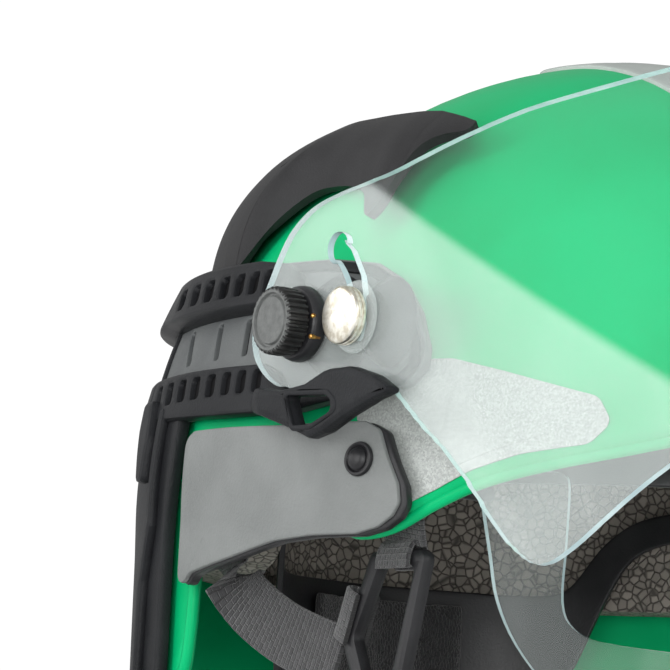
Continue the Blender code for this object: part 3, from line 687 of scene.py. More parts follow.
# %% Metal
def metal(name, colour, tarnish, roughness):
    """Plated metal: bright, with small dull spots and fine turning marks."""
    material, nodes, links, end = fresh(name)
    where = nodes.new("ShaderNodeTexCoord")
    where.label = "on the part"
    where.location = (-900, 0)
    spots = nodes.new("ShaderNodeTexNoise")
    spots.label = "dull spots"
    spots.location = (-650, 100)
    spots.inputs["Scale"].default_value = 420.0
    spots.inputs["Detail"].default_value = 5.0
    shades = nodes.new("ShaderNodeValToRGB")
    shades.label = "bright to dull"
    shades.location = (-400, 150)
    shades.color_ramp.elements[0].position = 0.42
    shades.color_ramp.elements[0].color = tarnish
    shades.color_ramp.elements[1].position = 0.58
    shades.color_ramp.elements[1].color = colour
    sheen = nodes.new("ShaderNodeMapRange")
    sheen.label = "spots are rougher"
    sheen.location = (-400, -100)
    sheen.inputs["To Min"].default_value = roughness + 0.2
    sheen.inputs["To Max"].default_value = roughness
    shader = nodes.new("ShaderNodeBsdfPrincipled")
    shader.label = "plating"
    shader.location = (300, 0)
    shader.inputs["Metallic"].default_value = 1.0
    for label, members in (
        ("tarnish", (spots, shades, sheen)),
    ):
        group = nodes.new("NodeFrame")
        group.label = label
        for member in members:
            member.parent = group
    links.new(where.outputs["Object"], spots.inputs["Vector"])
    links.new(spots.outputs["Fac"], shades.inputs["Fac"])
    links.new(spots.outputs["Fac"], sheen.inputs["Value"])
    links.new(shades.outputs["Color"], shader.inputs["Base Color"])
    links.new(sheen.outputs["Result"], shader.inputs["Roughness"])
    links.new(shader.outputs["BSDF"], end.inputs["Surface"])
    return material


NICKEL = metal("nickel plating", srgb(238, 235, 224), srgb(206, 199, 182), 0.24)
BRASS = metal("brass pins", srgb(214, 168, 92), srgb(150, 108, 60), 0.25)

# %% [markdown]
# Three finishes are made of small cells.  Bead foam is pressed from balls, so it shows round beads
# with dark joints.  Reflective film is a sheet of glass beads under a clear face, so it sparkles.
# Pad cloth is a tight knit.  A Voronoi texture draws all three, at different sizes and depths.

# %% Cell finishes
def celled(name, face, joint, cell, relief_depth, roughness, metallic=0.0, sparkle=0.0, sheen=0.0,
           stretch=1.0):
    """Surface made of small cells with darker joints between them."""
    material, nodes, links, end = fresh(name)
    where = nodes.new("ShaderNodeTexCoord")
    where.label = "on the part"
    where.location = (-1100, 0)
    fit = nodes.new("ShaderNodeMapping")
    fit.label = "cell shape"
    fit.location = (-900, 0)
    fit.inputs["Scale"].default_value = (1.0, 1.0, stretch)
    cells = nodes.new("ShaderNodeTexVoronoi")
    cells.label = "cells"
    cells.location = (-700, 200)
    cells.inputs["Scale"].default_value = 1.0 / (cell * MM)
    tints = nodes.new("ShaderNodeTexVoronoi")
    tints.label = "distance to the joint"
    tints.feature = "DISTANCE_TO_EDGE"
    tints.location = (-700, -100)
    tints.inputs["Scale"].default_value = 1.0 / (cell * MM)
    gap = nodes.new("ShaderNodeMapRange")
    gap.label = "dark joints"
    gap.location = (-450, -100)
    gap.inputs["From Min"].default_value = 0.01
    gap.inputs["From Max"].default_value = 0.12
    grey = nodes.new("ShaderNodeSeparateColor")
    grey.label = "one number per cell"
    grey.location = (-450, 300)
    tone = nodes.new("ShaderNodeMapRange")
    tone.label = "cells differ"
    tone.location = (-250, 300)
    tone.inputs["To Min"].default_value = 0.75 - sparkle * 0.3
    tone.inputs["To Max"].default_value = 1.1 + sparkle
    body = nodes.new("ShaderNodeMix")
    body.label = "joint to face"
    body.data_type = "RGBA"
    body.location = (-200, 0)
    body.inputs["A"].default_value = joint
    body.inputs["B"].default_value = face
    varied = nodes.new("ShaderNodeVectorMath")
    varied.label = "tone of each cell"
    varied.operation = "SCALE"
    varied.location = (50, 100)
    dome_height = nodes.new("ShaderNodeBump")
    dome_height.label = "round cells"
    dome_height.location = (50, -250)
    dome_height.inputs["Strength"].default_value = 0.8
    dome_height.inputs["Distance"].default_value = relief_depth * MM
    shader = nodes.new("ShaderNodeBsdfPrincipled")
    shader.label = "skin"
    shader.location = (350, 0)
    shader.inputs["Roughness"].default_value = roughness
    shader.inputs["Metallic"].default_value = metallic
    shader.inputs["Sheen Weight"].default_value = sheen
    for label, members in (
        ("cells and joints", (fit, cells, tints, gap)),
        ("tone of the cells", (grey, tone, body, varied)),
        ("relief", (dome_height,)),
    ):
        group = nodes.new("NodeFrame")
        group.label = label
        for member in members:
            member.parent = group
    links.new(where.outputs["Object"], fit.inputs["Vector"])
    links.new(fit.outputs["Vector"], cells.inputs["Vector"])
    links.new(fit.outputs["Vector"], tints.inputs["Vector"])
    links.new(tints.outputs["Distance"], gap.inputs["Value"])
    links.new(cells.outputs["Color"], grey.inputs["Color"])
    links.new(grey.outputs["Red"], tone.inputs["Value"])
    links.new(gap.outputs["Result"], body.inputs["Factor"])
    links.new(body.outputs["Result"], varied.inputs[0])
    links.new(tone.outputs["Result"], varied.inputs["Scale"])
    links.new(varied.outputs["Vector"], shader.inputs["Base Color"])
    links.new(gap.outputs["Result"], dome_height.inputs["Height"])
    links.new(dome_height.outputs["Normal"], shader.inputs["Normal"])
    links.new(shader.outputs["BSDF"], end.inputs["Surface"])
    return material


BEAD_FOAM = celled("bead foam", srgb(136, 130, 122), srgb(70, 66, 61), 2.7, 0.5, 0.75)
SILVER_FILM = celled("reflective bead film", srgb(164, 168, 165), srgb(152, 157, 154), 0.5, 0.01, 0.42,
                     metallic=0.05, sparkle=0.03)
PAD_CLOTH = celled("knitted pad cloth", srgb(34, 34, 36), srgb(12, 12, 13), 0.9, 0.25, 0.95,
                   sheen=0.35, stretch=0.6)


# %% Webbing
def woven(name, base, light, row):
    """Woven strap: rows of short ribs across it, from the strap's own UV map in millimetres."""
    material, nodes, links, end = fresh(name)
    along = nodes.new("ShaderNodeUVMap")
    along.label = "along the strap"
    along.uv_map = "strap"
    along.location = (-1100, 0)
    ribs = nodes.new("ShaderNodeTexBrick")
    ribs.label = "rows of ribs"
    ribs.location = (-800, 0)
    ribs.inputs["Scale"].default_value = 1.0
    ribs.inputs["Brick Width"].default_value = row * 1.5
    ribs.inputs["Row Height"].default_value = row
    ribs.inputs["Mortar Size"].default_value = row * 0.16
    ribs.inputs["Mortar Smooth"].default_value = 1.0
    ribs.inputs["Color1"].default_value = base
    ribs.inputs["Color2"].default_value = light
    ribs.inputs["Mortar"].default_value = (base[0] * 0.3, base[1] * 0.3, base[2] * 0.3, 1.0)
    fuzz = nodes.new("ShaderNodeTexNoise")
    fuzz.label = "yarn fuzz"
    fuzz.location = (-800, -350)
    fuzz.inputs["Scale"].default_value = 3.0
    fuzz.inputs["Detail"].default_value = 4.0
    rib_height = nodes.new("ShaderNodeMath")
    rib_height.label = "ribs and fuzz"
    rib_height.operation = "SUBTRACT"
    rib_height.location = (-500, -200)
    relief = nodes.new("ShaderNodeBump")
    relief.label = "weave height"
    relief.location = (-200, -200)
    relief.inputs["Strength"].default_value = 0.9
    relief.inputs["Distance"].default_value = 0.0004
    shader = nodes.new("ShaderNodeBsdfPrincipled")
    shader.label = "yarn"
    shader.location = (300, 0)
    shader.inputs["Roughness"].default_value = 0.8
    shader.inputs["Sheen Weight"].default_value = 0.3
    for label, members in (
        ("ribs", (along, ribs)),
        ("fuzz and relief", (fuzz, rib_height, relief)),
    ):
        group = nodes.new("NodeFrame")
        group.label = label
        for member in members:
            member.parent = group
    links.new(along.outputs["UV"], ribs.inputs["Vector"])
    links.new(along.outputs["UV"], fuzz.inputs["Vector"])
    links.new(fuzz.outputs["Fac"], rib_height.inputs[0])
    links.new(ribs.outputs["Fac"], rib_height.inputs[1])
    links.new(rib_height.outputs["Value"], relief.inputs["Height"])
    links.new(ribs.outputs["Color"], shader.inputs["Base Color"])
    links.new(relief.outputs["Normal"], shader.inputs["Normal"])
    links.new(shader.outputs["BSDF"], end.inputs["Surface"])
    return material


WEBBING = woven("black webbing", srgb(34, 34, 36), srgb(52, 52, 54), 1.6)
print("finishes:", len(bpy.data.materials))

# %% [markdown]
# ## Green shell
#
# The shell is a deep dome with a raised brow, a dip beside each eye and an arch over each ear.  Its rim
# is drawn as heights at a few turns; a grid runs from there to the crown.  Solidify gives the wall, and
# a bead along the rim makes the rolled edge that catches the light.

# %% Rim line
RIM = [
    (0, 24.5), (15, 23.5), (30, 19.5), (42, 13.5), (50, 9.5), (58, 4.5), (64, -1.5), (69, -7.5), (73, -9.5),
    (76, -8), (80, -1), (83, 2), (88, 3), (95, 3), (99, 2.5), (102, 0), (103.2, -5), (104.2, -13),
    (104.8, -22), (105.3, -34), (106.5, -45), (110, -51), (118, -52), (135, -52), (158, -52), (180, -52),
]


def height_at(table, turn_wanted):
    """Height from a table of (turn, height), smoothly between its points."""
    for (first, low), (second, high) in zip(table, table[1:]):
        if turn_wanted <= second:
            share = (turn_wanted - first) / (second - first)
            return low + (high - low) * share
    return table[-1][1]


rim_run = spline(RIM, 6)
turns = [turn_here for turn_here, _ in rim_run]
print("rim stations on one side:", len(turns), "lowest", min(height for _, height in rim_run))


# %% Shell mesh
def shell_rows(lift, rises, table):
    """Rows of points from the rim line to the crown, all the way round."""
    both = list(table) + [(360.0 - turn_here, height) for turn_here, height in reversed(table[1:-1])]
    rows = []
    for rise in range(rises):
        share = math.sin(math.pi / 2 * rise / rises)
        rows.append([dome(turn_here, low + (CROWN - low) * share, lift) for turn_here, low in both])
    return rows


shell_mesh = mesh_of_rows("shell", shell_rows(0.0, 34, rim_run), True, dome(0, CROWN, 0.0))
shell_maker = bmesh.new()
shell_maker.from_mesh(shell_mesh)
bmesh.ops.recalc_face_normals(shell_maker, faces=shell_maker.faces)
shell_maker.to_mesh(shell_mesh)
shell_maker.free()
shell_mesh.shade_smooth()
shell_mesh.materials.append(GREEN)
shell_piece = bpy.data.objects.new("shell_skin", shell_mesh)
bpy.context.scene.collection.objects.link(shell_piece)
stack(shell_piece, wall=3.4)
settle(shell_piece)
bead_line = [dome(turn_here, height + 0.6, -1.4) for turn_here, height in rim_run]
bead_line += [Vector((-point.x, point.y, point.z)) for point in reversed(bead_line[1:-1])]
bead = tube("rim bead", bead_line, 1.75, closed=True)
bead.materials.append(GREEN)
outer = new_piece("outer_shell_look", merged("outer_shell_look", [shell_piece.data, bead]), GREEN,
                  "helmet", ["outer_shell"])
bpy.data.objects.remove(shell_piece)
print("shell faces:", len(outer.data.polygons))

# %% [markdown]
# ## Grey top plate and rear hood
#
# A light grey plate lies along the crown.  Behind it a black hood stands off the shell: a band round the
# back with a foot and a swept tail on each side.  The hood is one sheet between a lower and an upper
# line.  It is tucked in along its lower edge and stands off above, so a thin dark line shows under it.

# %% Top plate
top_outline = rounded([
    (-23, 16, 12), (23, 16, 12), (29, -62, 10), (25, -72, 6), (-25, -72, 6), (-29, -62, 10),
])
LAMP_SLOT_ACROSS = 15.0
lamp_slots = []
for middle in (-LAMP_SLOT_ACROSS, LAMP_SLOT_ACROSS):
    sides = [(middle - 2, -22), (middle + 2, -22), (middle + 2, -2), (middle - 2, -2)]
    lamp_slots.append(rounded([(a, b, 1.5) for a, b in sides], 3))
top_mesh = lay("top_plate_look", [top_outline] + lamp_slots, -0.3, 3.0, 0.9, 4.0, above)
new_piece("top_plate_look", top_mesh, TOP_GREY, "helmet", ["top_plate"])

# %% Rear hood
HOOD_LOW = [
    (67, 107), (68, 105.3), (71, 104.8), (73.5, 103), (75, 100), (76, 94), (76.8, 85), (78.3, 81),
    (79.6, 81.2), (82, 85.5), (84.5, 89), (89, 92), (93, 93), (98, 93), (101, 91.5), (104, 88), (106.5, 83),
    (108, 76),
    (109.5, 71.5), (112, 70.6), (130, 70.6), (155, 70.6), (180, 70.6),
]
HOOD_HIGH = [
    (67, 108.6), (70, 110.5), (73, 112), (77, 113.8), (82, 114.6), (92, 115.4), (110, 116), (180, 116),
]
hood_run = spline(HOOD_LOW, 5)
HOOD_STAND = 12.0
HOOD_TUCK = 7.2
HOOD_FALL = 4.2


def hood_lift(turn_here, height, low):
    """Distance of the hood's outer face from the shell: tucked in along its lower edge, full above it."""
    swell = math.sin(math.pi / 2 * min((height - low) / 30.0, 1.0))
    back = min(max((turn_here - 74.0) / 14.0, 0.0), 1.0)
    tuck = back * back * (3 - 2 * back)
    fall = min(max((height - 103.0) / 14.0, 0.0), 1.0)
    return HOOD_STAND - HOOD_TUCK * tuck * (1 - swell) - HOOD_FALL * fall * fall


hood_rows = []
HOOD_RISES = 18
for rise in range(HOOD_RISES + 1):
    row = []
    for turn_here, low in hood_run:
        high = height_at(HOOD_HIGH, turn_here)
        height = low + (high - low) * rise / HOOD_RISES
        lift = hood_lift(turn_here, height, low)
        turn_dome, height_dome = level_with(turn_here, height, lift)
        row.append(dome(turn_dome, height_dome, lift))
    hood_rows.append(row + [Vector((-point.x, point.y, point.z)) for point in reversed(row[:-1])])
hood_mesh = mesh_of_rows("rear_hood_look", hood_rows)
hood_maker = bmesh.new()
hood_maker.from_mesh(hood_mesh)
bmesh.ops.recalc_face_normals(hood_maker, faces=hood_maker.faces)
hood_maker.to_mesh(hood_mesh)
hood_maker.free()
hood = new_piece("rear_hood_look", hood_mesh, HOOD_BLACK, "helmet", ["rear_hood"])
middle_face = hood_mesh.polygons[len(hood_mesh.polygons) // 2]
wall_side = -1.0 if middle_face.normal.dot(middle_face.center) > 0 else 1.0
stack(hood, wall=2.8, edge=0.8, levels=1, wall_side=wall_side, limit=50.0)
print("hood faces:", len(hood_mesh.polygons), "wall side", wall_side)

# %% [markdown]
# ## Louvred frame
#
# Under the hood a black frame wraps the shell.  It is two slotted bars with a recessed panel between
# them.  In front, the panel widens into the flat seat that the visor turns on.  From the lower bar
# an arm swings out over the visor's edge, with an eye-shaped socket for a lamp or ear defenders.
# Thin near-black floors in the slots and behind the seat's holes are painted shade: an open slot in black
# plastic shows only darkness.


# %% Slots
def slots(stations, low, high, radius=0.9):
    """A row of slots from (top, foot, width): the middle of each end, along the shell, and the width."""
    row = []
    for top, foot, width in stations:
        half = width / 2
        corners = [(top - half, high), (top + half, high), (foot + half, low), (foot - half, low)]
        row.append(rounded([(a, b, radius) for a, b in corners], 3))
    return row


# %% Bars, panel and seat
SPLIT = 78.0
seat_line = rounded([
    (SPLIT, 68.5, 0), (46, 69, 10), (13, 69, 20), (-14, 68.3, 20), (-33, 66, 8), (-44, 61, 6), (-53, 52, 8),
    (-59, 42, 6), (-60, 36, 3), (-56, 31, 3), (-40, 28.5, 10), (-18, 25, 10), (SPLIT, 26.5, 0),
])
recess_slots = slots([(16.4, 13.2, 2.8), (34.2, 30.2, 3.0), (57.3, 51.2, 3.8)], 42.0, 52.6, 0.7)
seat_dents = [rounded([(-22, 55, 1), (-16, 55, 1), (-13, 44, 1), (-19, 44, 1)], 2)]
seat_mesh = lay("seat", [seat_line] + recess_slots + seat_dents, 3.4, 4.0, 0.6, 4.0)
seat_rim = lay("seat rim", [seat_line, rounded([
    (SPLIT - 3, 65.5, 0), (46, 66, 10), (13, 66, 20), (-14, 65.3, 20), (-32, 63.2, 6), (-42, 58.5, 5),
    (-50.5, 50, 7),
    (-56, 41.5, 5), (-56.8, 37, 2), (-53.6, 33.8, 2), (-38, 31.5, 8), (-16, 28, 10), (SPLIT - 3, 29.5, 0),
])], 5.6, 1.6, 0.5, 4.0)
upper_line = rounded([
    (SPLIT, 68.6, 0), (46, 68.8, 8), (12, 68.4, 10), (-4, 66.5, 6), (-8, 60.5, 4), (0, 55.4, 10),
    (SPLIT, 55.2, 0),
])
upper_stations = [
    (4.9, 2.2, 4.0), (12.2, 9.6, 4.3), (20.6, 17.4, 4.7), (30.0, 26.4, 5.2), (40.8, 36.8, 5.8),
    (52.5, 47.6, 6.4),
    (66.0, 60.6, 6.6),
]
upper_slots = slots(upper_stations, 58.6, 65.0, 1.1)
upper_mesh = lay("upper bar", [upper_line] + upper_slots, 8.0, 7.0, 0.9, 4.0)
lower_line = rounded([
    (SPLIT, 39.6, 0), (40, 39.2, 10), (-2, 38.6, 6), (-9, 36, 4), (-16, 29.5, 3), (-14, 24.6, 1.5),
    (20, 25.0, 10),
    (SPLIT, 27.2, 0),
])
lower_stations = [
    (0.6, -0.5, 4.1), (8.6, 7.4, 4.3), (16.8, 15.5, 4.6), (26.0, 24.6, 5.1), (36.2, 34.6, 5.6),
    (46.4, 44.6, 5.8),
    (57.4, 55.4, 6.0), (69.0, 66.8, 6.0),
]
lower_slots = slots(lower_stations, 30.8, 37.0, 1.2)
lower_mesh = lay("lower bar", [lower_line] + lower_slots, 4.9, 5.0, 0.9, 4.0)

# %% Painted shade in the slots
FLOOR_SPARE = 0.5
wider_upper = slots([(top, foot, width + FLOOR_SPARE) for top, foot, width in upper_stations], 58.2, 65.4)
wider_lower = slots([(top, foot, width + FLOOR_SPARE) for top, foot, width in lower_stations], 30.4, 37.4)
painted_slot_shade = [
    lay("upper painted slot shade", wider_upper, 9.4, 0.6, 0.1, 4.0),
    lay("lower painted slot shade", wider_lower, 5.4, 0.6, 0.1, 4.0),
]
print("side frame points:", sum(len(mesh.vertices) for mesh in (seat_mesh, upper_mesh, lower_mesh)))

# %% Arm with its socket
ARM_FACE = 135.0
ARM_DEEP = 5.4


def on_arm(a, b, depth, lift):
    """Arm place: flat beside the visor, bending in to the lower bar behind it."""
    share = min(max((a + 20.0) / 28.0, 0.0), 1.0)
    bend = share * share * (3 - 2 * share)
    return Vector((-(ARM_FACE - ARM_DEEP / 2 + depth - 12.5 * bend), a, b))


arm_line = rounded([
    (10, 30, 2), (-14, 30.6, 8), (-27.6, 29.0, 8), (-39, 30.2, 8), (-49, 33.6, 10), (-59.5, 33.8, 8),
    (-71, 30.8, 6),
    (-80, 26.2, 1.2), (-71, 24.2, 6), (-59, 20.4, 8), (-49, 16.4, 6), (-42, 15.0, 4), (-32, 18.4, 8),
    (-18, 22.4, 10), (-2, 24.9, 8), (10, 25.6, 2),
], 6)
socket_line = rounded([(-31, 27.2, 1), (-35.4, 18.8, 1.8), (-43.4, 18.8, 3.4), (-56, 23.0, 2.2),
                       (-50, 26.4, 3)], 5)
socket_lip = rounded([(-29.6, 28.6, 1), (-34.6, 17.4, 2.2), (-44, 17.3, 4), (-58.4, 22.6, 2.6),
                      (-51.2, 27.9, 4)], 5)
arm_maker = flat_work([arm_line, socket_line], ARM_DEEP, 1.6, 3.0)
for vert in arm_maker.verts:
    vert.co = on_arm(vert.co.x, vert.co.y, vert.co.z, 0.0) * MM
arm_mesh = finish_mesh("arm", arm_maker)
lip_maker = flat_work([socket_lip, socket_line], 1.4, 0.5, 3.0)
for vert in lip_maker.verts:
    vert.co = on_arm(vert.co.x, vert.co.y, vert.co.z + ARM_DEEP / 2 - 0.45, 0.0) * MM
lip_mesh = finish_mesh("socket lip", lip_maker)
seat_shade_line = rounded([
    (SPLIT, 66.5, 0), (46, 67, 10), (13, 67, 20), (-14, 66.3, 20), (-31, 64, 8), (-50, 50, 8), (-55, 38, 6),
    (-38, 31, 8), (-18, 27.5, 10), (SPLIT, 29, 0),
])
# A near-black sheet within the seat's thickness shows through its slots and dents as painted shade.
seat_shade_sheet = lay("painted shade behind the seat holes", [seat_shade_line], 3.4, 0.8, 0.15, 4.0)
for mesh in [seat_shade_sheet] + painted_slot_shade:
    mesh.materials.append(SLOT_PAINTED_SHADE)
bosses = []
for middle, reach in ((PIVOT, 11.0), (STUD, 8.5)):
    profile = [
        (0.01, -127.0), (reach - 3.0, -127.0), (reach - 2.2, -126.6), (reach, -122.5), (reach + 4.0, -117.0),
        (0.01, -117.0),
    ]
    bosses.append(turned("seat boss", profile, (0, middle[1], middle[2])))
# The recessed panel and seat take the painted-light grey copy of the frame nylon.
seat_mesh.materials.append(PANEL_PAINTED_LIGHT)
black_meshes = [seat_rim, upper_mesh, lower_mesh, arm_mesh, lip_mesh] + bosses
for mesh in black_meshes:
    mesh.materials.append(FRAME_BLACK)
frame_mesh = merged("side_frame", [seat_shade_sheet, seat_mesh] + painted_slot_shade + black_meshes)
pair("side_frame", frame_mesh, FRAME_BLACK)

# %% Rear frame
REAR_HALF = 144.0
rear_panel = [(-REAR_HALF, 27), (REAR_HALF, 27), (REAR_HALF, 68.5), (-REAR_HALF, 68.5)]
rear_stations = [(12.25 * step, 12.25 * step, 6.0) for step in range(-10, 11)]
rear_upper = [(-REAR_HALF, 55.2), (REAR_HALF, 55.2), (REAR_HALF, 68.6), (-REAR_HALF, 68.6)]
rear_lower = [(-REAR_HALF, 27.2), (REAR_HALF, 27.2), (REAR_HALF, 39.6), (-REAR_HALF, 39.6)]
rear_meshes = [
    lay("rear panel", [rear_panel], 3.4, 4.0, 0.6, 5.0, around),
    lay("rear upper", [rear_upper] + slots(rear_stations, 58.6, 65.0, 1.1), 8.0, 7.0, 0.9, 5.0, around),
    lay("rear lower", [rear_lower] + slots(rear_stations, 30.8, 37.0, 1.2), 4.9, 5.0, 0.9, 5.0, around),
]
for mesh in rear_meshes:
    mesh.materials.append(FRAME_BLACK)
rear_whole = merged("rear_frame_look", rear_meshes)
new_piece("rear_frame_look", rear_whole, FRAME_BLACK, "helmet", ["rear_frame"])

# %% Nape strut
strut_line = rounded([
    (47, 31, 2), (92, 31, 2), (90, 10, 14), (84, -12, 20), (80, -60, 5), (50, -60, 4), (50, -10, 10),
    (48, 10, 10),
])
strut = lay("strut", [strut_line], 3.4, 4.0, 1.0, 4.0)
rib_line = rounded([(66, 33, 2), (77, 33, 2), (76, 24, 3), (70.5, 9, 2), (64.5, 9, 2), (63, 22, 6)], 4)
rib = lay("strut rib", [rib_line], 7.4, 4.0, 1.2, 3.0)
spine_line = rounded([
    (57, 30, 1), (61, 30, 1), (60.5, -4, 3), (66, -20, 6), (68, -58, 1), (64, -58, 1), (62, -20, 6),
    (56.5, -4, 3),
], 3)
spine = lay("strut spine", [spine_line], 6.4, 3.0, 1.0, 3.0)
for mesh in (strut, rib, spine):
    mesh.materials.append(FRAME_BLACK)
pair("nape_strut", merged("nape_strut", [strut, rib, spine]), FRAME_BLACK)
print("frame pieces are on both sides")

# %% [markdown]
# ## Ear plate, stud and reflective film
#
# The grained plate over the ear follows the shell as one thin sheet with a square edge.  Its press stud
# is a low dome in a dark ring.  The film is thinner than a nail, so it only needs a soft edge.

# %% Ear plate
plate_line = rounded([
    (35, 19.4, 4), (30, 21.5, 4), (10, 21.4, 20), (-14, 20.8, 20), (-47, 20.9, 4), (-52, 18.6, 3),
    (-55.5, 11.4, 20),
    (-59.6, 3.8, 5), (-60.4, -1.5, 4), (-58.4, -5.0, 3), (-54, -8.0, 4), (-46.8, -9.8, 6), (-30.5, -10, 20),
    (-16, -11.2, 20), (4.2, -15.2, 20), (27, -19, 6), (33.6, -27, 3), (33.4, -4, 30),
])
# A black copy of the plate, shifted forward and down, shows as a dark band along its front and lower edges.
dark_band_line = [(a - 1.5, b - 0.5) for a, b in plate_line]
plate = lay("cover_plate", [plate_line], 5.5, 3.2, 0.6, 4.0)
plate.materials.append(PLATE_GREY)
dark_band = lay("dark band along the plate", [dark_band_line], 4.2, 3.0, 0.5, 4.0)
dark_band.materials.append(SOFT_BLACK)
plate = merged("cover_plate", [plate, dark_band])
pair("cover_plate", plate, PLATE_GREY)

# %% Press stud
seat_point = dome(72.0, 10.0, 7.3)
outward = (dome(72.0, 10.0, 17.0) - seat_point).normalized()
stud_profile = [
    (0.02, 2.2), (1.6, 2.1), (2.6, 1.7), (3.1, 1.1), (3.15, 0.55), (3.4, 0.4), (3.9, 0.95), (4.5, 0.9),
    (4.8, 0.3), (4.8, -0.1),
]
stud_mesh = turned("cover_stud", stud_profile, (0, 0, 0), 40, 1)
lay_over = outward.to_track_quat("X", "Z").to_matrix().to_4x4()
stud_mesh.transform(Matrix.Translation(seat_point * MM) @ lay_over)
pair("cover_stud", stud_mesh, SOFT_BLACK)

# %% Reflective film
film_line = rounded([
    (-36, 22.5, 1.5), (-42.5, 28.7, 4), (-49, 33, 4), (-54.5, 38.7, 3), (-64, 38.8, 4), (-79, 35.2, 30),
    (-94, 31, 20), (-103, 28.4, 4), (-107, 21.4, 4), (-103, 15.4, 4), (-87.5, 12.4, 20), (-75, 7.8, 20),
    (-66, 2.8, 20), (-56, -1.8, 1), (-54, -1.4, 1), (-52, 5.3, 6), (-44.8, 18.6, 5),
], 6)
film_inner = rounded([
    (-66.4, 33, 3), (-72, 34, 5), (-82, 31, 12), (-96, 26.4, 5), (-101, 21, 4), (-92, 17.4, 6), (-80, 13, 8),
    (-71, 9, 3), (-67.4, 8, 2), (-65.6, 18, 10),
], 6)
film = lay("reflective_decal", [film_line], 0.42, 0.4, 0.12, 3.0)
film_step = lay("film step", [film_inner], 0.62, 0.3, 0.12, 3.0)
for mesh in (film, film_step):
    mesh.materials.append(SILVER_FILM)
pair("reflective_decal", merged("reflective_decal", [film, film_step]), SILVER_FILM)
print("plate, stud and film laid")

# %% [markdown]
# ## Visor
#
# A full-face visor is one flat sheet bent round the face: straight over the cheeks and half an ellipse in
# front.  It is drawn flat, with its pivot holes, guide slots and nose notch, and then bent and raised to
# the angle it rests at.  Drawing it flat keeps the sheet the same thickness and its edge square.

# %% Sheet helper
def encloses(outline, spot):
    """Whether a flat point lies inside an outline: count the sides that a line to the right crosses."""
    within = False
    for first, second in zip(outline, list(outline[1:]) + [outline[0]]):
        if (first[1] > spot.y) == (second[1] > spot.y):
            continue
        crossing = first[0] + (spot.y - first[1]) * (second[0] - first[0]) / (second[1] - first[1])
        within = within != (spot.x < crossing)
    return within


def cut_sheet(outlines, cell):
    """Flat sheet cut to an outline with holes and meshed with even triangles."""
    points, edges = [], []
    for outline in outlines:
        start = len(points)
        points += [Vector(place[:2]) for place in outline]
        edges += [(start + index, start + (index + 1) % len(outline)) for index in range(len(outline))]
    low_a, high_a = min(p.x for p in points), max(p.x for p in points)
    low_b, high_b = min(p.y for p in points), max(p.y for p in points)
    across, upward = int((high_a - low_a) / cell), int((high_b - low_b) / cell)
    for row in range(1, upward):
        for column in range(1, across):
            shift = 0.5 * cell * (row % 2)
            points.append(Vector((low_a + column * cell + shift, low_b + row * cell)))
    places, _, faces, _, _, _ = delaunay_2d_cdt(points, edges, [], 5, 0.01)
    maker = bmesh.new()
    knots = [maker.verts.new((place.x, place.y, 0.0)) for place in places]
    for face in faces:
        middle = sum((places[index] for index in face), Vector((0.0, 0.0))) / len(face)
        if not any(encloses(hole, middle) for hole in outlines[1:]):
            maker.faces.new([knots[index] for index in face])
    bmesh.ops.delete(maker, geom=[knot for knot in maker.verts if not knot.link_faces], context="VERTS")
    return maker


def sheet_piece(name, maker, place, materials, wall, body, node):
    """Bend a cut sheet, give it its wall, and keep its cut edge in the second finish."""
    for vert in maker.verts:
        vert.co = place(vert.co.x, vert.co.y) * MM
    bmesh.ops.recalc_face_normals(maker, faces=maker.faces)
    mesh = bpy.data.meshes.new(name)
    maker.to_mesh(mesh)
    maker.free()
    mesh.shade_smooth()
    for material in materials:
        mesh.materials.append(material)
    piece = new_piece(name, mesh, materials[0], body, [node])
    solid = piece.modifiers.new("Wall", "SOLIDIFY")
    solid.thickness = wall * MM
    solid.offset = 0.0
    solid.material_offset_rim = 1
    settle(piece)
    piece.data.set_sharp_from_angle(angle=math.radians(30.0))
    return piece


# %% Visor plan
HALF, CHEEK, NOSE = 127.0, -50.0, 129.0
PLAN_STEPS = 400
plan_table = [(0.0, 0.0)]
for step in range(1, PLAN_STEPS + 1):
    before = math.pi / 2 * (step - 1) / PLAN_STEPS
    after = math.pi / 2 * step / PLAN_STEPS
    run = math.hypot(HALF * (math.cos(after) - math.cos(before)), NOSE * (math.sin(after) - math.sin(before)))
    plan_table.append((plan_table[-1][0] + run, after))
QUARTER = plan_table[-1][0]


def plan_place(along, depth):
    """Point and level of the bent sheet: along is the distance from the cheek line, forward."""
    if along <= 0:
        return Vector((-(HALF + depth), CHEEK - along, 0.0))
    index = min(int(along / QUARTER * PLAN_STEPS), PLAN_STEPS)
    while index > 0 and plan_table[index][0] > along:
        index -= 1
    while index < PLAN_STEPS and plan_table[index + 1][0] < along:
        index += 1
    turn_here = plan_table[index][1]
    if index < PLAN_STEPS:
        gap = plan_table[index + 1][0] - plan_table[index][0]
        turn_here += (along - plan_table[index][0]) / gap * (math.pi / 2 / PLAN_STEPS)
    return Vector((-(HALF + depth) * math.cos(turn_here), CHEEK - (NOSE + depth) * math.sin(turn_here), 0.0))


def unroll(y):
    """Distance from the cheek line, forward, of a point seen from the side at y."""
    if y >= CHEEK:
        return CHEEK - y
    share = min((CHEEK - y) / NOSE, 1.0)
    turn_here = math.asin(share)
    for length, angle in plan_table:
        if angle >= turn_here:
            return length
    return QUARTER


print("sheet length from nose to cheek line:", round(QUARTER, 1), "mm")

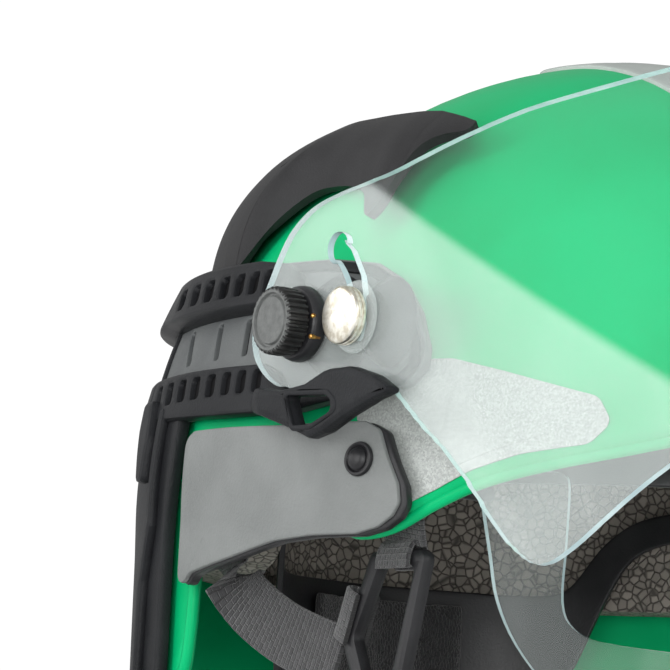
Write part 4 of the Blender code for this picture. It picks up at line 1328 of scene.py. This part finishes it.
# %% Visor outline
side_up = spline([
    (16, -9), (19.5, -6), (23, 0.8), (24, 8), (21, 14.5), (14, 18.8), (7, 22), (0, 25), (-8, 27), (-18, 26.3),
    (-28, 22.8), (-40, 17.6), (-52, 13.2), (-70, 9.1), (-88, 5.4), (-108, 0.2), (-128, -3), (-149.5, -4.5),
], 4)
side_down = spline([
    (-143, -104.5), (-128, -106.5), (-105, -110.5), (-84, -114.3), (-70, -117), (-60.5, -118.6),
    (-52, -118.6), (-47, -116.4),
    (-43.5, -112), (-40.6, -105), (-38.5, -97), (-36.7, -88.5), (-35.2, -81), (-33.6, -74), (-31.2, -66.5),
    (-28, -58),
    (-25, -48.5), (-21.8, -38.6), (-17, -30), (-10, -24.5), (-2, -21.5), (6, -18.5), (12, -13.8),
], 4)
half_line = [(unroll(PIVOT.y + a), PIVOT.z + b) for a, b in side_up + side_down]
nose_notch = [(QUARTER, -36), (QUARTER - 7, -37.5), (QUARTER - 14, -43), (QUARTER - 22, -53),
              (QUARTER - 30, -56.5)]
upper_part = half_line[:len(side_up)]
lower_part = half_line[len(side_up):]
right_line = upper_part[:-1] + [(QUARTER, PIVOT.z - 4.5)]
around_line = right_line + [(2 * QUARTER - a, b) for a, b in reversed(upper_part[:-1])]
lower_left = [(2 * QUARTER - a, b) for a, b in reversed(lower_part)]
notch_left = [(2 * QUARTER - a, b) for a, b in nose_notch[1:]]
around_line += lower_left + list(reversed(notch_left)) + nose_notch + lower_part
print("visor outline corners:", len(around_line))

# %% Holes and guide slots
SLOT_RADIUS, SLOT_NECK, SLOT_BULB = 24.0, 3.0, 4.4


def guide_slot():
    """Curved slot round the pivot with a keyhole at its upper end, in the lowered sheet."""
    first = math.pi + RAISED + math.radians(7.0)
    last = first - math.radians(64.0)
    turns_here = [first + (last - first) * step / 20 for step in range(21)]
    outer, inner = SLOT_RADIUS + SLOT_NECK, SLOT_RADIUS - SLOT_NECK
    far = [(outer * math.cos(t), outer * math.sin(t)) for t in turns_here]
    near = [(inner * math.cos(t), inner * math.sin(t)) for t in turns_here]
    heart = (SLOT_RADIUS * math.cos(last), SLOT_RADIUS * math.sin(last))
    bulb_turns = [last + math.radians(45.0 - 270.0 * step / 18) for step in range(19)]
    bulb = [(heart[0] + SLOT_BULB * math.cos(t), heart[1] + SLOT_BULB * math.sin(t)) for t in bulb_turns]
    tail = (SLOT_RADIUS * math.cos(first), SLOT_RADIUS * math.sin(first))
    tail_turns = [first + math.radians(180.0 - 180.0 * step / 8) for step in range(1, 8)]
    tail_arc = [(tail[0] + SLOT_NECK * math.cos(t), tail[1] + SLOT_NECK * math.sin(t)) for t in tail_turns]
    return far[:-1] + bulb + near[-2::-1] + tail_arc


pivot_hole = [(4.8 * math.cos(math.tau * step / 28), 4.8 * math.sin(math.tau * step / 28))
              for step in range(28)]
holes = []
for hole in (pivot_hole, guide_slot()):
    placed = [(unroll(PIVOT.y + a), PIVOT.z + b) for a, b in hole]
    holes.append(placed)
    holes.append([(2 * QUARTER - a, b) for a, b in placed])

# %% Bend and raise the sheet
lift_up = Matrix.Translation(PIVOT) @ Matrix.Rotation(-RAISED, 4, "X") @ Matrix.Translation(-PIVOT)


def raised_sheet(along, height):
    """Place of a point of the flat sheet once it is bent and raised."""
    mirror = along > QUARTER
    point = plan_place(2 * QUARTER - along if mirror else along, 0.0)
    point.z = height
    if mirror:
        point.x = -point.x
    return lift_up @ point


visor = sheet_piece("visor_look", cut_sheet([around_line] + holes, 5.0), raised_sheet,
                    (VISOR_CLEAR, SHEET_EDGE_LIGHT), 2.0, "visor", "visor")
print("visor faces:", len(visor.data.polygons), "box", [round(side / MM) for side in visor.dimensions])

# %% [markdown]
# ## Knob, collar, stud and washer
#
# Turned parts are half profiles that a Screw spins round their axis.  The knob is turned too, but its
# rim is fluted, so its rings are drawn as a wheel of shallow teeth.


# %% Fluted wheel
FLUTE_LIMIT = 35.0


def fluted(name, profile, teeth, per_tooth=6):
    """Wheel about X: the profile is (radius, flute depth, x); teeth fade where the depth is nothing."""
    rows = []
    for radius, depth, along in profile:
        row = []
        for step in range(teeth * per_tooth):
            turn_here = math.tau * step / (teeth * per_tooth)
            wave = min(1.0, max(0.0, 0.5 + 0.9 * math.cos(teeth * turn_here)))
            reach = radius - depth * (1 - wave)
            row.append(Vector((along, reach * math.cos(turn_here), reach * math.sin(turn_here))))
        rows.append(row)
    return mesh_of_rows(name, rows, True)


def closed_wheel(name, profile, teeth, place, materials, face_rings):
    """Fluted wheel placed on the wearer's right, its middle rings in the second finish."""
    mesh = fluted(name, profile, teeth)
    maker = bmesh.new()
    maker.from_mesh(mesh)
    bmesh.ops.remove_doubles(maker, verts=maker.verts, dist=0.00001)
    maker.faces.ensure_lookup_table()
    for face in maker.faces:
        middle = face.calc_center_median()
        near_axis = math.hypot(middle.y, middle.z) < face_rings * MM
        outside = middle.x < profile[4][2] * MM
        face.material_index = 1 if near_axis and outside else 0
    bmesh.ops.translate(maker, verts=maker.verts, vec=Vector(place) * MM)
    result = finish_mesh(name, maker, FLUTE_LIMIT)
    for material in materials:
        result.materials.append(material)
    return result


KNOB_BACK, KNOB_FRONT = -132.9, -140.0
knob_profile = [
    (0.001, 0.0, KNOB_BACK), (8.2, 0.0, KNOB_BACK), (9.3, 0.7, KNOB_BACK - 0.4), (9.5, 0.9, KNOB_BACK - 3.0),
    (9.4, 0.8, KNOB_FRONT + 1.0), (9.0, 0.6, KNOB_FRONT + 0.35), (8.3, 0.0, KNOB_FRONT),
    (7.6, 0.0, KNOB_FRONT + 0.1), (7.3, 0.0, KNOB_FRONT + 0.9), (6.8, 0.0, KNOB_FRONT + 1.0),
    (6.4, 0.0, KNOB_FRONT + 0.3), (0.001, 0.0, KNOB_FRONT + 0.15),
]
knob_mesh = closed_wheel("clamp_knob", knob_profile, 30, (0, PIVOT.y, PIVOT.z), (KNOB_BLACK, KNOB_FACE), 8.6)
pair("clamp_knob", knob_mesh, KNOB_BLACK, ("knob_right", "knob_left"))

# %% Collar, pins, post, stud and washer
collar = turned("clamp_collar", [
    (4.4, -128.4), (4.4, -132.5), (8.4, -132.6), (9.6, -132.3), (10.2, -131.5), (10.45, -130.6),
    (10.5, -128.9), (10.2, -128.35), (4.4, -128.4),
], (0, PIVOT.y, PIVOT.z))
collar.materials.append(SOFT_BLACK)
PIN_PROFILE = [(0.01, -132.9), (0.4, -132.8), (0.7, -132.4), (0.7, -129.5)]
pins = []
for ahead, higher in ((9.5, 1.4), (9.1, -4.2)):
    head = turned("collar pin", PIN_PROFILE, (0, PIVOT.y - ahead + 0.2, PIVOT.z + higher), 16)
    head.materials.append(BRASS)
    pins.append(head)
pair("clamp_collar", merged("clamp_collar", [collar] + pins), SOFT_BLACK)
POST_PROFILE = [(0.01, -132.4), (3.6, -132.4), (3.9, -132.0), (3.9, -116), (0.01, -116)]
post = turned("pivot_post", POST_PROFILE, (0, PIVOT.y, PIVOT.z), 24)
pair("pivot_post", post, NICKEL)
stud_head = turned("visor_stud", [
    (0.01, -134.5), (6.9, -134.4), (7.5, -134.15), (7.9, -133.7), (8.0, -133.2), (7.6, -132.95),
    (7.6, -132.7),
    (8.0, -132.5), (8.0, -131.9), (7.6, -131.7), (7.6, -131.4), (8.0, -131.2), (7.9, -130.6), (7.2, -130.2),
    (2.6, -130.2), (2.6, -116), (0.01, -116),
], STUD)
pair("visor_stud", stud_head, NICKEL)
WASHER_PROFILE = [(3.0, -128.3), (3.0, -129.6), (8.6, -129.7), (9.6, -129.2), (10.0, -128.4), (3.0, -128.3)]
washer = turned("stud_washer", WASHER_PROFILE, STUD)
pair("stud_washer", washer, WASHER_CLEAR)
print("hardware: knob, collar, post, stud and washer on both sides")

# %% [markdown]
# ## Bead-foam liner
#
# The liner is pressed bead foam, closed like a thick cap.  Its inner side has broad air channels from
# front to back, which are drawn as dips in the inner wall.  The outer side is hidden under the shell.

# %% Liner mesh
LINER_EDGE = [
    (0, 31), (35, 24), (55, 16), (66, 10.5), (85, 10.5), (100, 10.5), (106, 4), (112, -11), (120, -14),
    (180, -14),
]
LINER_INSIDE, LINER_OUTSIDE = -32.0, -12.0


def liner_inner(turn_here, height):
    """Distance of the inner wall from the shell, with rounded air channels that fade out towards the lower
    edge.
    """
    wave = math.cos(math.radians(turn_here) * 10.0)
    channel = 4.0 * max(0.0, wave) ** 2 * min(1.0, max(0.0, (height - 20.0) / 20.0))
    return LINER_INSIDE + channel


liner_turns = [3.0 * step for step in range(120)]
liner_rows = []
LINER_RISES = 22
for rise in range(LINER_RISES):
    share = math.sin(math.pi / 2 * rise / LINER_RISES)
    row = []
    for turn_here in liner_turns:
        low = height_at(LINER_EDGE, min(turn_here, 360.0 - turn_here))
        height = low + (CROWN - low) * share
        row.append(dome(turn_here, height, liner_inner(turn_here, height)))
    liner_rows.append(row)
outer_rows = []
for rise in range(LINER_RISES):
    share = math.sin(math.pi / 2 * rise / LINER_RISES)
    row = []
    for turn_here in liner_turns:
        low = height_at(LINER_EDGE, min(turn_here, 360.0 - turn_here))
        row.append(dome(turn_here, low * (1 - share) + CROWN * share, LINER_OUTSIDE))
    outer_rows.append(row)
liner_maker = bmesh.new()
for rows, lift in ((liner_rows, LINER_INSIDE), (outer_rows, LINER_OUTSIDE)):
    part = mesh_of_rows("liner part", rows, True, dome(0, CROWN, lift))
    liner_maker.from_mesh(part)
bmesh.ops.remove_doubles(liner_maker, verts=liner_maker.verts, dist=0.00001)
open_edges = [edge for edge in liner_maker.edges if edge.is_boundary]
bmesh.ops.bridge_loops(liner_maker, edges=open_edges)
liner = new_piece("foam_liner_look", finish_mesh("foam_liner_look", liner_maker, 50.0), BEAD_FOAM,
                  "helmet", ["foam_liner"])
stack(liner, edge=2.2, limit=50.0)
print("liner faces:", len(liner.data.polygons), "open edges bridged:", len(open_edges))

# %% [markdown]
# ## Headband and size adjuster
#
# The headband is a thin plastic strip inside the liner.  A separate rear cradle slides in it, pulled by
# the ratchet wheel at the nape.  Each strip is a row of points given a wall by Solidify.


# %% Strips
def strip(name, stations, lift, wall, edge):
    """Strip inside the dome from (turn, low, high) stations on both sides of the middle."""
    rows = []
    for share in [step / 4 for step in range(5)]:
        row = []
        for turn_here, low, high in stations:
            row.append(dome(turn_here, low + (high - low) * share, lift))
        rows.append(row)
    mesh = mesh_of_rows(name, rows)
    maker = bmesh.new()
    maker.from_mesh(mesh)
    bmesh.ops.recalc_face_normals(maker, faces=maker.faces)
    face = maker.faces[:][len(maker.faces) // 2]
    if face.normal.dot(face.calc_center_median()) < 0:
        bmesh.ops.reverse_faces(maker, faces=maker.faces)
    maker.to_mesh(mesh)
    maker.free()
    piece = bpy.data.objects.new(name, mesh)
    bpy.context.scene.collection.objects.link(piece)
    stack(piece, wall=wall, edge=edge, levels=1, limit=60.0)
    settle(piece)
    result = piece.data
    bpy.data.objects.remove(piece)
    return result


band_stations = [(turn_here, 10.0, 25.5) for turn_here in range(-113, 114, 4)]
band_mesh = strip("headband_look", band_stations, -33.6, 2.0, 0.5)
new_piece("headband_look", band_mesh, SOFT_BLACK, "helmet", ["headband"])
cradle_side = [
    (107, 9.5, 21.5), (112, 9.5, 21.5), (118, 8.5, 21), (124, 2, 17), (129, -14, 8), (134, -34, -6),
    (140, -44, -10.5),
]
cradle_stations = spline(cradle_side + [(160, -46.5, -10.2), (180, -46.5, -10.2)], 3)
cradle_stations += [(360 - turn_here, low, high) for turn_here, low, high in reversed(cradle_stations[:-1])]
cradle_mesh = strip("nape_cradle_look", cradle_stations, -37.8, 2.0, 0.5)
new_piece("nape_cradle_look", cradle_mesh, SOFT_BLACK, "cradle", ["nape_cradle"])

# %% Ratchet
RATCHET = Vector((0.0, 117.0, -34.0))
housing_line = rounded([(-24, -46, 6), (24, -46, 6), (24, -21, 6), (-24, -21, 6)])
housing_maker = flat_work([housing_line], 8.8, 1.5, 40.0)
for vert in housing_maker.verts:
    vert.co = Vector((vert.co.x, RATCHET.y + 4.5 + vert.co.z, vert.co.y)) * MM
new_piece("ratchet_housing_look", finish_mesh("ratchet_housing_look", housing_maker), SOFT_BLACK,
          "cradle", ["ratchet_housing"])
wheel_profile = [
    (0.001, 0.0, 0.2), (13.5, 0.0, 0.2), (15.3, 1.2, 0.9), (15.6, 1.4, 4.0), (15.4, 1.3, 8.4),
    (14.4, 0.7, 9.6), (12.6, 0.0, 9.9), (11.8, 0.0, 9.2), (11.0, 0.0, 8.9), (0.001, 0.0, 9.1),
]
wheel = fluted("ratchet wheel", wheel_profile, 24)
wheel_place = Matrix.Translation(Vector((0, 126.2, RATCHET.z)) * MM)
wheel.transform(wheel_place @ Matrix.Rotation(math.radians(90), 4, "Z"))
wheel_maker = bmesh.new()
wheel_maker.from_mesh(wheel)
bmesh.ops.remove_doubles(wheel_maker, verts=wheel_maker.verts, dist=0.00001)
new_piece("ratchet_knob_look", finish_mesh("ratchet_knob_look", wheel_maker, FLUTE_LIMIT), KNOB_BLACK,
          "ratchet_knob", ["ratchet_knob"])
print("headband, cradle and ratchet made")

# %% [markdown]
# ## Pads
#
# Pads are foam in a knitted cover.  Each starts as a thin closed slab laid inside the dome, is remeshed
# into even quads, and is blown up a little by a cloth simulation with a small inner pressure.  The swell
# is capped, so a pad never grows through its neighbour.


# %% Slabs and swelling
def slab(name, stations, lift, thick, rises=6):
    """Closed slab inside the dome from (turn, low, high) stations."""
    maker = bmesh.new()
    skins = []
    for depth in (0.0, -thick):
        grid = []
        for step in range(rises + 1):
            share = step / rises
            row = [dome(t, low + (high - low) * share, lift + depth) for t, low, high in stations]
            grid.append([maker.verts.new(point * MM) for point in row])
        skins.append(grid)
        for lower, upper in zip(grid, grid[1:]):
            for index in range(len(stations) - 1):
                maker.faces.new((lower[index], lower[index + 1], upper[index + 1], upper[index]))
    border = []
    for grid in skins:
        loop = grid[0] + [row[-1] for row in grid[1:]] + grid[-1][-2::-1] + [row[0] for row in grid[-2:0:-1]]
        border.append(loop)
    for index in range(len(border[0])):
        after = (index + 1) % len(border[0])
        maker.faces.new((border[0][index], border[0][after], border[1][after], border[1][index]))
    bmesh.ops.recalc_face_normals(maker, faces=maker.faces)
    mesh = bpy.data.meshes.new(name)
    maker.to_mesh(mesh)
    maker.free()
    return mesh


SWELL_FRAMES = 20


def swell(piece, voxel, pressure, cap):
    """Remesh a pad and blow it up with cloth, moving no point further than the cap."""
    even = piece.modifiers.new("Even quads", "REMESH")
    even.mode = "VOXEL"
    even.voxel_size = voxel * MM
    settle(piece)
    start = [vert.co.copy() for vert in piece.data.vertices]
    cloth = piece.modifiers.new("Cloth", "CLOTH")
    cloth.settings.use_pressure = True
    cloth.settings.uniform_pressure_force = pressure
    cloth.settings.tension_stiffness = 40.0
    cloth.settings.compression_stiffness = 40.0
    cloth.settings.effector_weights.gravity = 0.0
    cloth.point_cache.frame_start = 1
    cloth.point_cache.frame_end = SWELL_FRAMES
    for frame_number in range(1, SWELL_FRAMES + 1):
        bpy.context.scene.frame_set(frame_number)
    settle(piece)
    bpy.context.scene.frame_set(1)
    for vert, before in zip(piece.data.vertices, start):
        move = vert.co - before
        if move.length > cap * MM:
            vert.co = before + move.normalized() * cap * MM
    piece.data.shade_smooth()
    soft = piece.modifiers.new("Smooth skin", "SUBSURF")
    soft.levels = 1
    soft.render_levels = 1
    return piece


def pad(name, mesh, nodes, body, cap):
    """A knitted pad, remeshed and swollen by cloth."""
    piece = new_piece(name, mesh, PAD_CLOTH, body, nodes)
    swell(piece, 3.0, 3.0, cap)
    if not piece.data.materials:
        piece.data.materials.append(PAD_CLOTH)
    print(name, "points:", len(piece.data.vertices))
    return piece


brow_stations = [(turn_here, 9.5, 26.5) for turn_here in range(-73, 74, 4)]
pad("brow_pad_look", slab("brow_pad_look", brow_stations, -37.0, 3.6), ["brow_pad"], "helmet", 0.9)
nape_stations = [(turn_here, -43.5, -14.5) for turn_here in range(156, 205, 4)]
pad("nape_pad_look", slab("nape_pad_look", nape_stations, -41.2, 3.0), ["nape_pad"], "cradle", 0.9)

# %% Crown pad
crown_maker = bmesh.new()
CROWN_PETALS, CROWN_RINGS = 48, 9
CROWN_PAD_BACK = 5.0
layers = []
for depth in (-33.6, -38.2):
    rings = []
    for ring in range(1, CROWN_RINGS + 1):
        points = []
        for step in range(CROWN_PETALS):
            turn_here = math.tau * step / CROWN_PETALS
            reach = (42.0 + 2.0 * math.cos(6 * turn_here)) * ring / CROWN_RINGS
            point = above(reach * math.cos(turn_here), CROWN_PAD_BACK + reach * math.sin(turn_here), 0.0,
                          depth)
            points.append(crown_maker.verts.new(point * MM))
        rings.append(points)
    heart = crown_maker.verts.new(above(0.0, CROWN_PAD_BACK, 0.0, depth) * MM)
    layers.append(rings)
    for inner, outer_ring in zip(rings, rings[1:]):
        for step in range(CROWN_PETALS):
            after = (step + 1) % CROWN_PETALS
            crown_maker.faces.new((inner[step], inner[after], outer_ring[after], outer_ring[step]))
    for step in range(CROWN_PETALS):
        crown_maker.faces.new((rings[0][step], rings[0][(step + 1) % CROWN_PETALS], heart))
for step in range(CROWN_PETALS):
    after = (step + 1) % CROWN_PETALS
    crown_maker.faces.new((layers[0][-1][step], layers[0][-1][after], layers[1][-1][after],
                           layers[1][-1][step]))
pad("crown_pad_look", finish_mesh("crown_pad_look", crown_maker, 60.0), ["crown_pad"], "helmet", 0.9)

# %% [markdown]
# ## Eye shield
#
# Inside the rim hangs a small clear shield on an arm at each side.  It is cut flat, like the visor, and
# bent round the dome inside the shell.


# %% Eye shield
arm_right = spline([
    (150, 3), (153, 6), (150.5, 9), (140, 9.6), (128, 10), (123, 9), (121.4, 5), (121.6, -10), (122, -26),
    (118, -33), (108, -36.5), (84, -38.5), (50, -40), (24, -40.5), (0, -41),
], 4)
lens_low = spline([
    (0, -58), (12, -58.5), (20, -66), (34, -73.5), (58, -75), (84, -71.5), (106, -62), (124, -50), (136, -38),
    (143, -26), (146, -14), (148.4, -4),
], 4)
shield_line = arm_right + [(-a, b) for a, b in reversed(arm_right[:-1])]
shield_line += [(-a, b) for a, b in reversed(lens_low)][:-1] + lens_low


def bent_shield(a, b):
    """Inside the dome: a is the distance from the brow's middle, round the shell, and b the height."""
    return dome(a / SIDE_RATE, b, -13.6)


shield = sheet_piece("eye_shield_look", cut_sheet([shield_line], 5.0), bent_shield,
                     (SHIELD_CLEAR, SHEET_EDGE_LIGHT), 2.0, "eye_shield", "eye_shield")
HANG_PROFILE = [(0.01, -102.0), (1.8, -102.0), (2.2, -101.5), (2.2, -90.0), (0.01, -90.0)]
hang_pin = turned("shield_pin", HANG_PROFILE, (0, -66.0, 3.0), 24)
pair("shield_pin", hang_pin, SOFT_BLACK)
print("shield faces:", len(shield.data.polygons))

# %% [markdown]
# ## Chin webbing
#
# Webbing is a flat ribbon swept along its route.  Its UV map is measured along and across the ribbon in
# millimetres, so the weave keeps its size round every bend.


# %% Ribbon
def ribbon(name, route, across, width=18.0, thick=1.5, smooth_steps=6):
    """Flat strap along a route with rounded edges and a strap UV map in millimetres."""
    run = [Vector(point) for point in spline(route, smooth_steps)]
    half, edge = width / 2, thick / 2
    corner, middle = half - edge * 0.5, half * 0.5
    section = [(-half, 0.0), (-corner, edge), (-middle, edge), (0, edge), (middle, edge), (corner, edge),
               (half, 0.0), (corner, -edge), (middle, -edge), (0, -edge), (-middle, -edge), (-corner, -edge)]
    maker = bmesh.new()
    layer = maker.loops.layers.uv.new("strap")
    rings, lengths, travelled = [], [], 0.0
    for index, point in enumerate(run):
        before, after = run[max(index - 1, 0)], run[min(index + 1, len(run) - 1)]
        along = (after - before).normalized()
        side = Vector(across)
        side = (side - side.dot(along) * along).normalized()
        deep = along.cross(side).normalized()
        rings.append([maker.verts.new((point + side * a + deep * b) * MM) for a, b in section])
        if index:
            travelled += (point - run[index - 1]).length
        lengths.append(travelled)
    count = len(section)
    for index in range(len(rings) - 1):
        for step in range(count):
            after = (step + 1) % count
            here, there = rings[index], rings[index + 1]
            face = maker.faces.new((here[step], here[after], there[after], there[step]))
            spots = ((step, index), (after, index), (after, index + 1), (step, index + 1))
            for loop, (spot, ring) in zip(face.loops, spots):
                loop[layer].uv = (section[spot][0], lengths[ring])
    for ring, run_length in ((rings[0], 0.0), (rings[-1], travelled)):
        face = maker.faces.new(ring)
        for loop, (a, _) in zip(face.loops, section):
            loop[layer].uv = (a, run_length)
    return finish_mesh(name, maker, 50.0)


front_route = [(-105.5, -48.0, 8.0), (-104.3, -46.5, 1.5), (-103.2, -45.0, -5.0), (-101.4, -44.0, -10.5)]
pair("front_strap", ribbon("front_strap", front_route, (0, 1, 0)), WEBBING)
rear_route = [
    (-109.0, 30.0, 8.0), (-108.7, 29.4, -8.0), (-107.8, 26.5, -22.0), (-105.0, 8.0, -34.0),
    (-101.4, -15.5, -41.8),
]
pair("rear_strap", ribbon("rear_strap", rear_route, (0, 0.4, 1)), WEBBING)
right_route = [
    (-101, -36, -54), (-96, -38, -76), (-82, -41, -98), (-60, -44, -114), (-30, -46, -121), (0, -46, -122),
    (22.5, -46, -121.5),
]
new_piece("chin_strap_right_look", ribbon("chin_strap_right_look", right_route, (0, 1, 0)), WEBBING,
          "helmet", ["chin_strap_right"])
left_route = [(101, -36, -54), (99.5, -37, -66), (96, -38.5, -79)]
new_piece("chin_strap_left_look", ribbon("chin_strap_left_look", left_route, (0, 1, 0)), WEBBING,
          "helmet", ["chin_strap_left"])

# %% Divider and its loops
DIVIDER_X = -101.0
divider_outer = rounded([(-56, -12.4, 3), (-30, -12.4, 3), (-18.4, -38, 5), (-26, -52, 4), (-46, -52, 4)], 6)
divider_inner = rounded([(-50.5, -17, 2), (-34, -17, 2), (-24, -36, 3), (-29, -46, 3), (-42, -46, 3)], 6)
divider_maker = flat_work([divider_outer, divider_inner], 4.6, 1.6, 6.0)
for vert in divider_maker.verts:
    vert.co = Vector((DIVIDER_X - vert.co.z, vert.co.x, vert.co.y)) * MM
pair("strap_divider", finish_mesh("strap_divider", divider_maker), SOFT_BLACK)


def loop_round(middle, along, out, reach, lift, width):
    """Webbing folded over a bar: a flat loop in the plane of along and out."""
    points = []
    for step in range(19):
        turn_here = math.radians(-100 + 200 * step / 18)
        points.append(middle + along * (reach * math.cos(turn_here)) + out * (lift * math.sin(turn_here)))
    return ribbon("webbing loop", points, along.cross(out), width, 1.4, 1)


up = Vector((0.0, 0.0, 1.0))
outwards = Vector((-1.0, 0.0, 0.0))
top_loop = loop_round(Vector((DIVIDER_X, -42.5, -16.5)), up, outwards, 6.5, 3.4, 15.0)
rear_loop = loop_round(Vector((DIVIDER_X, -23.5, -31.0)), Vector((0, 0.93, 0.36)), outwards, 7.0, 3.4, 15.0)
low_loop = loop_round(Vector((DIVIDER_X, -36.0, -47.5)), -up, outwards, 7.0, 3.4, 15.0)
loops = merged("webbing_loops", [top_loop, rear_loop, low_loop])
pair("webbing_loops", loops, WEBBING, nodes=False)

# %% Buckle
for node_name in ("buckle_socket", "buckle_tongue"):
    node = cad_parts[node_name]
    node.data.materials.clear()
    node.data.materials.append(SOFT_BLACK)
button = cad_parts["buckle_button"]
button.data.materials.clear()
button.data.materials.append(TOP_GREY)


# %% Chin pad sleeve
SLEEVE_FORWARD, SLEEVE_LEVEL = -46.0, -121.6


def sleeve(name, low_x, high_x):
    """Padded sleeve round the strap: a flat tube with thick walls, open at both ends."""
    rows = []
    stations = [low_x + (high_x - low_x) * step / 12 for step in range(13)]
    section = [(15.0, 0.0), (14.2, 4.4), (8.0, 6.0), (0.0, 6.4), (-8.0, 6.0), (-14.2, 4.4),
               (-15.0, 0.0), (-14.2, -2.6), (-8.0, -3.6), (0.0, -4.0), (8.0, -3.6), (14.2, -2.6)]
    hollow = [(10.2, 0.0), (10.0, 1.6), (5.0, 1.8), (0.0, 1.8), (-5.0, 1.8), (-10.0, 1.6),
              (-10.2, 0.0), (-10.0, -1.6), (-5.0, -1.8), (0.0, -1.8), (5.0, -1.8), (10.0, -1.6)]
    for x in stations:
        rows.append([Vector((x, SLEEVE_FORWARD + a, SLEEVE_LEVEL + b)) for a, b in section])
    for x in reversed(stations):
        rows.append([Vector((x, SLEEVE_FORWARD + a, SLEEVE_LEVEL + b)) for a, b in hollow])
    rows.append(rows[0])
    mesh = mesh_of_rows(name, rows, True)
    maker = bmesh.new()
    maker.from_mesh(mesh)
    bmesh.ops.remove_doubles(maker, verts=maker.verts, dist=0.00001)
    return finish_mesh(name, maker, 60.0)


chin = new_piece("chin_pad_look", sleeve("chin_pad_look", -27.5, 21.5), PAD_CLOTH, "helmet", ["chin_pad"])
stack(chin, levels=1)
print("straps, dividers, buckle and chin pad made")

# %% Finish
bpy.context.view_layer.update()
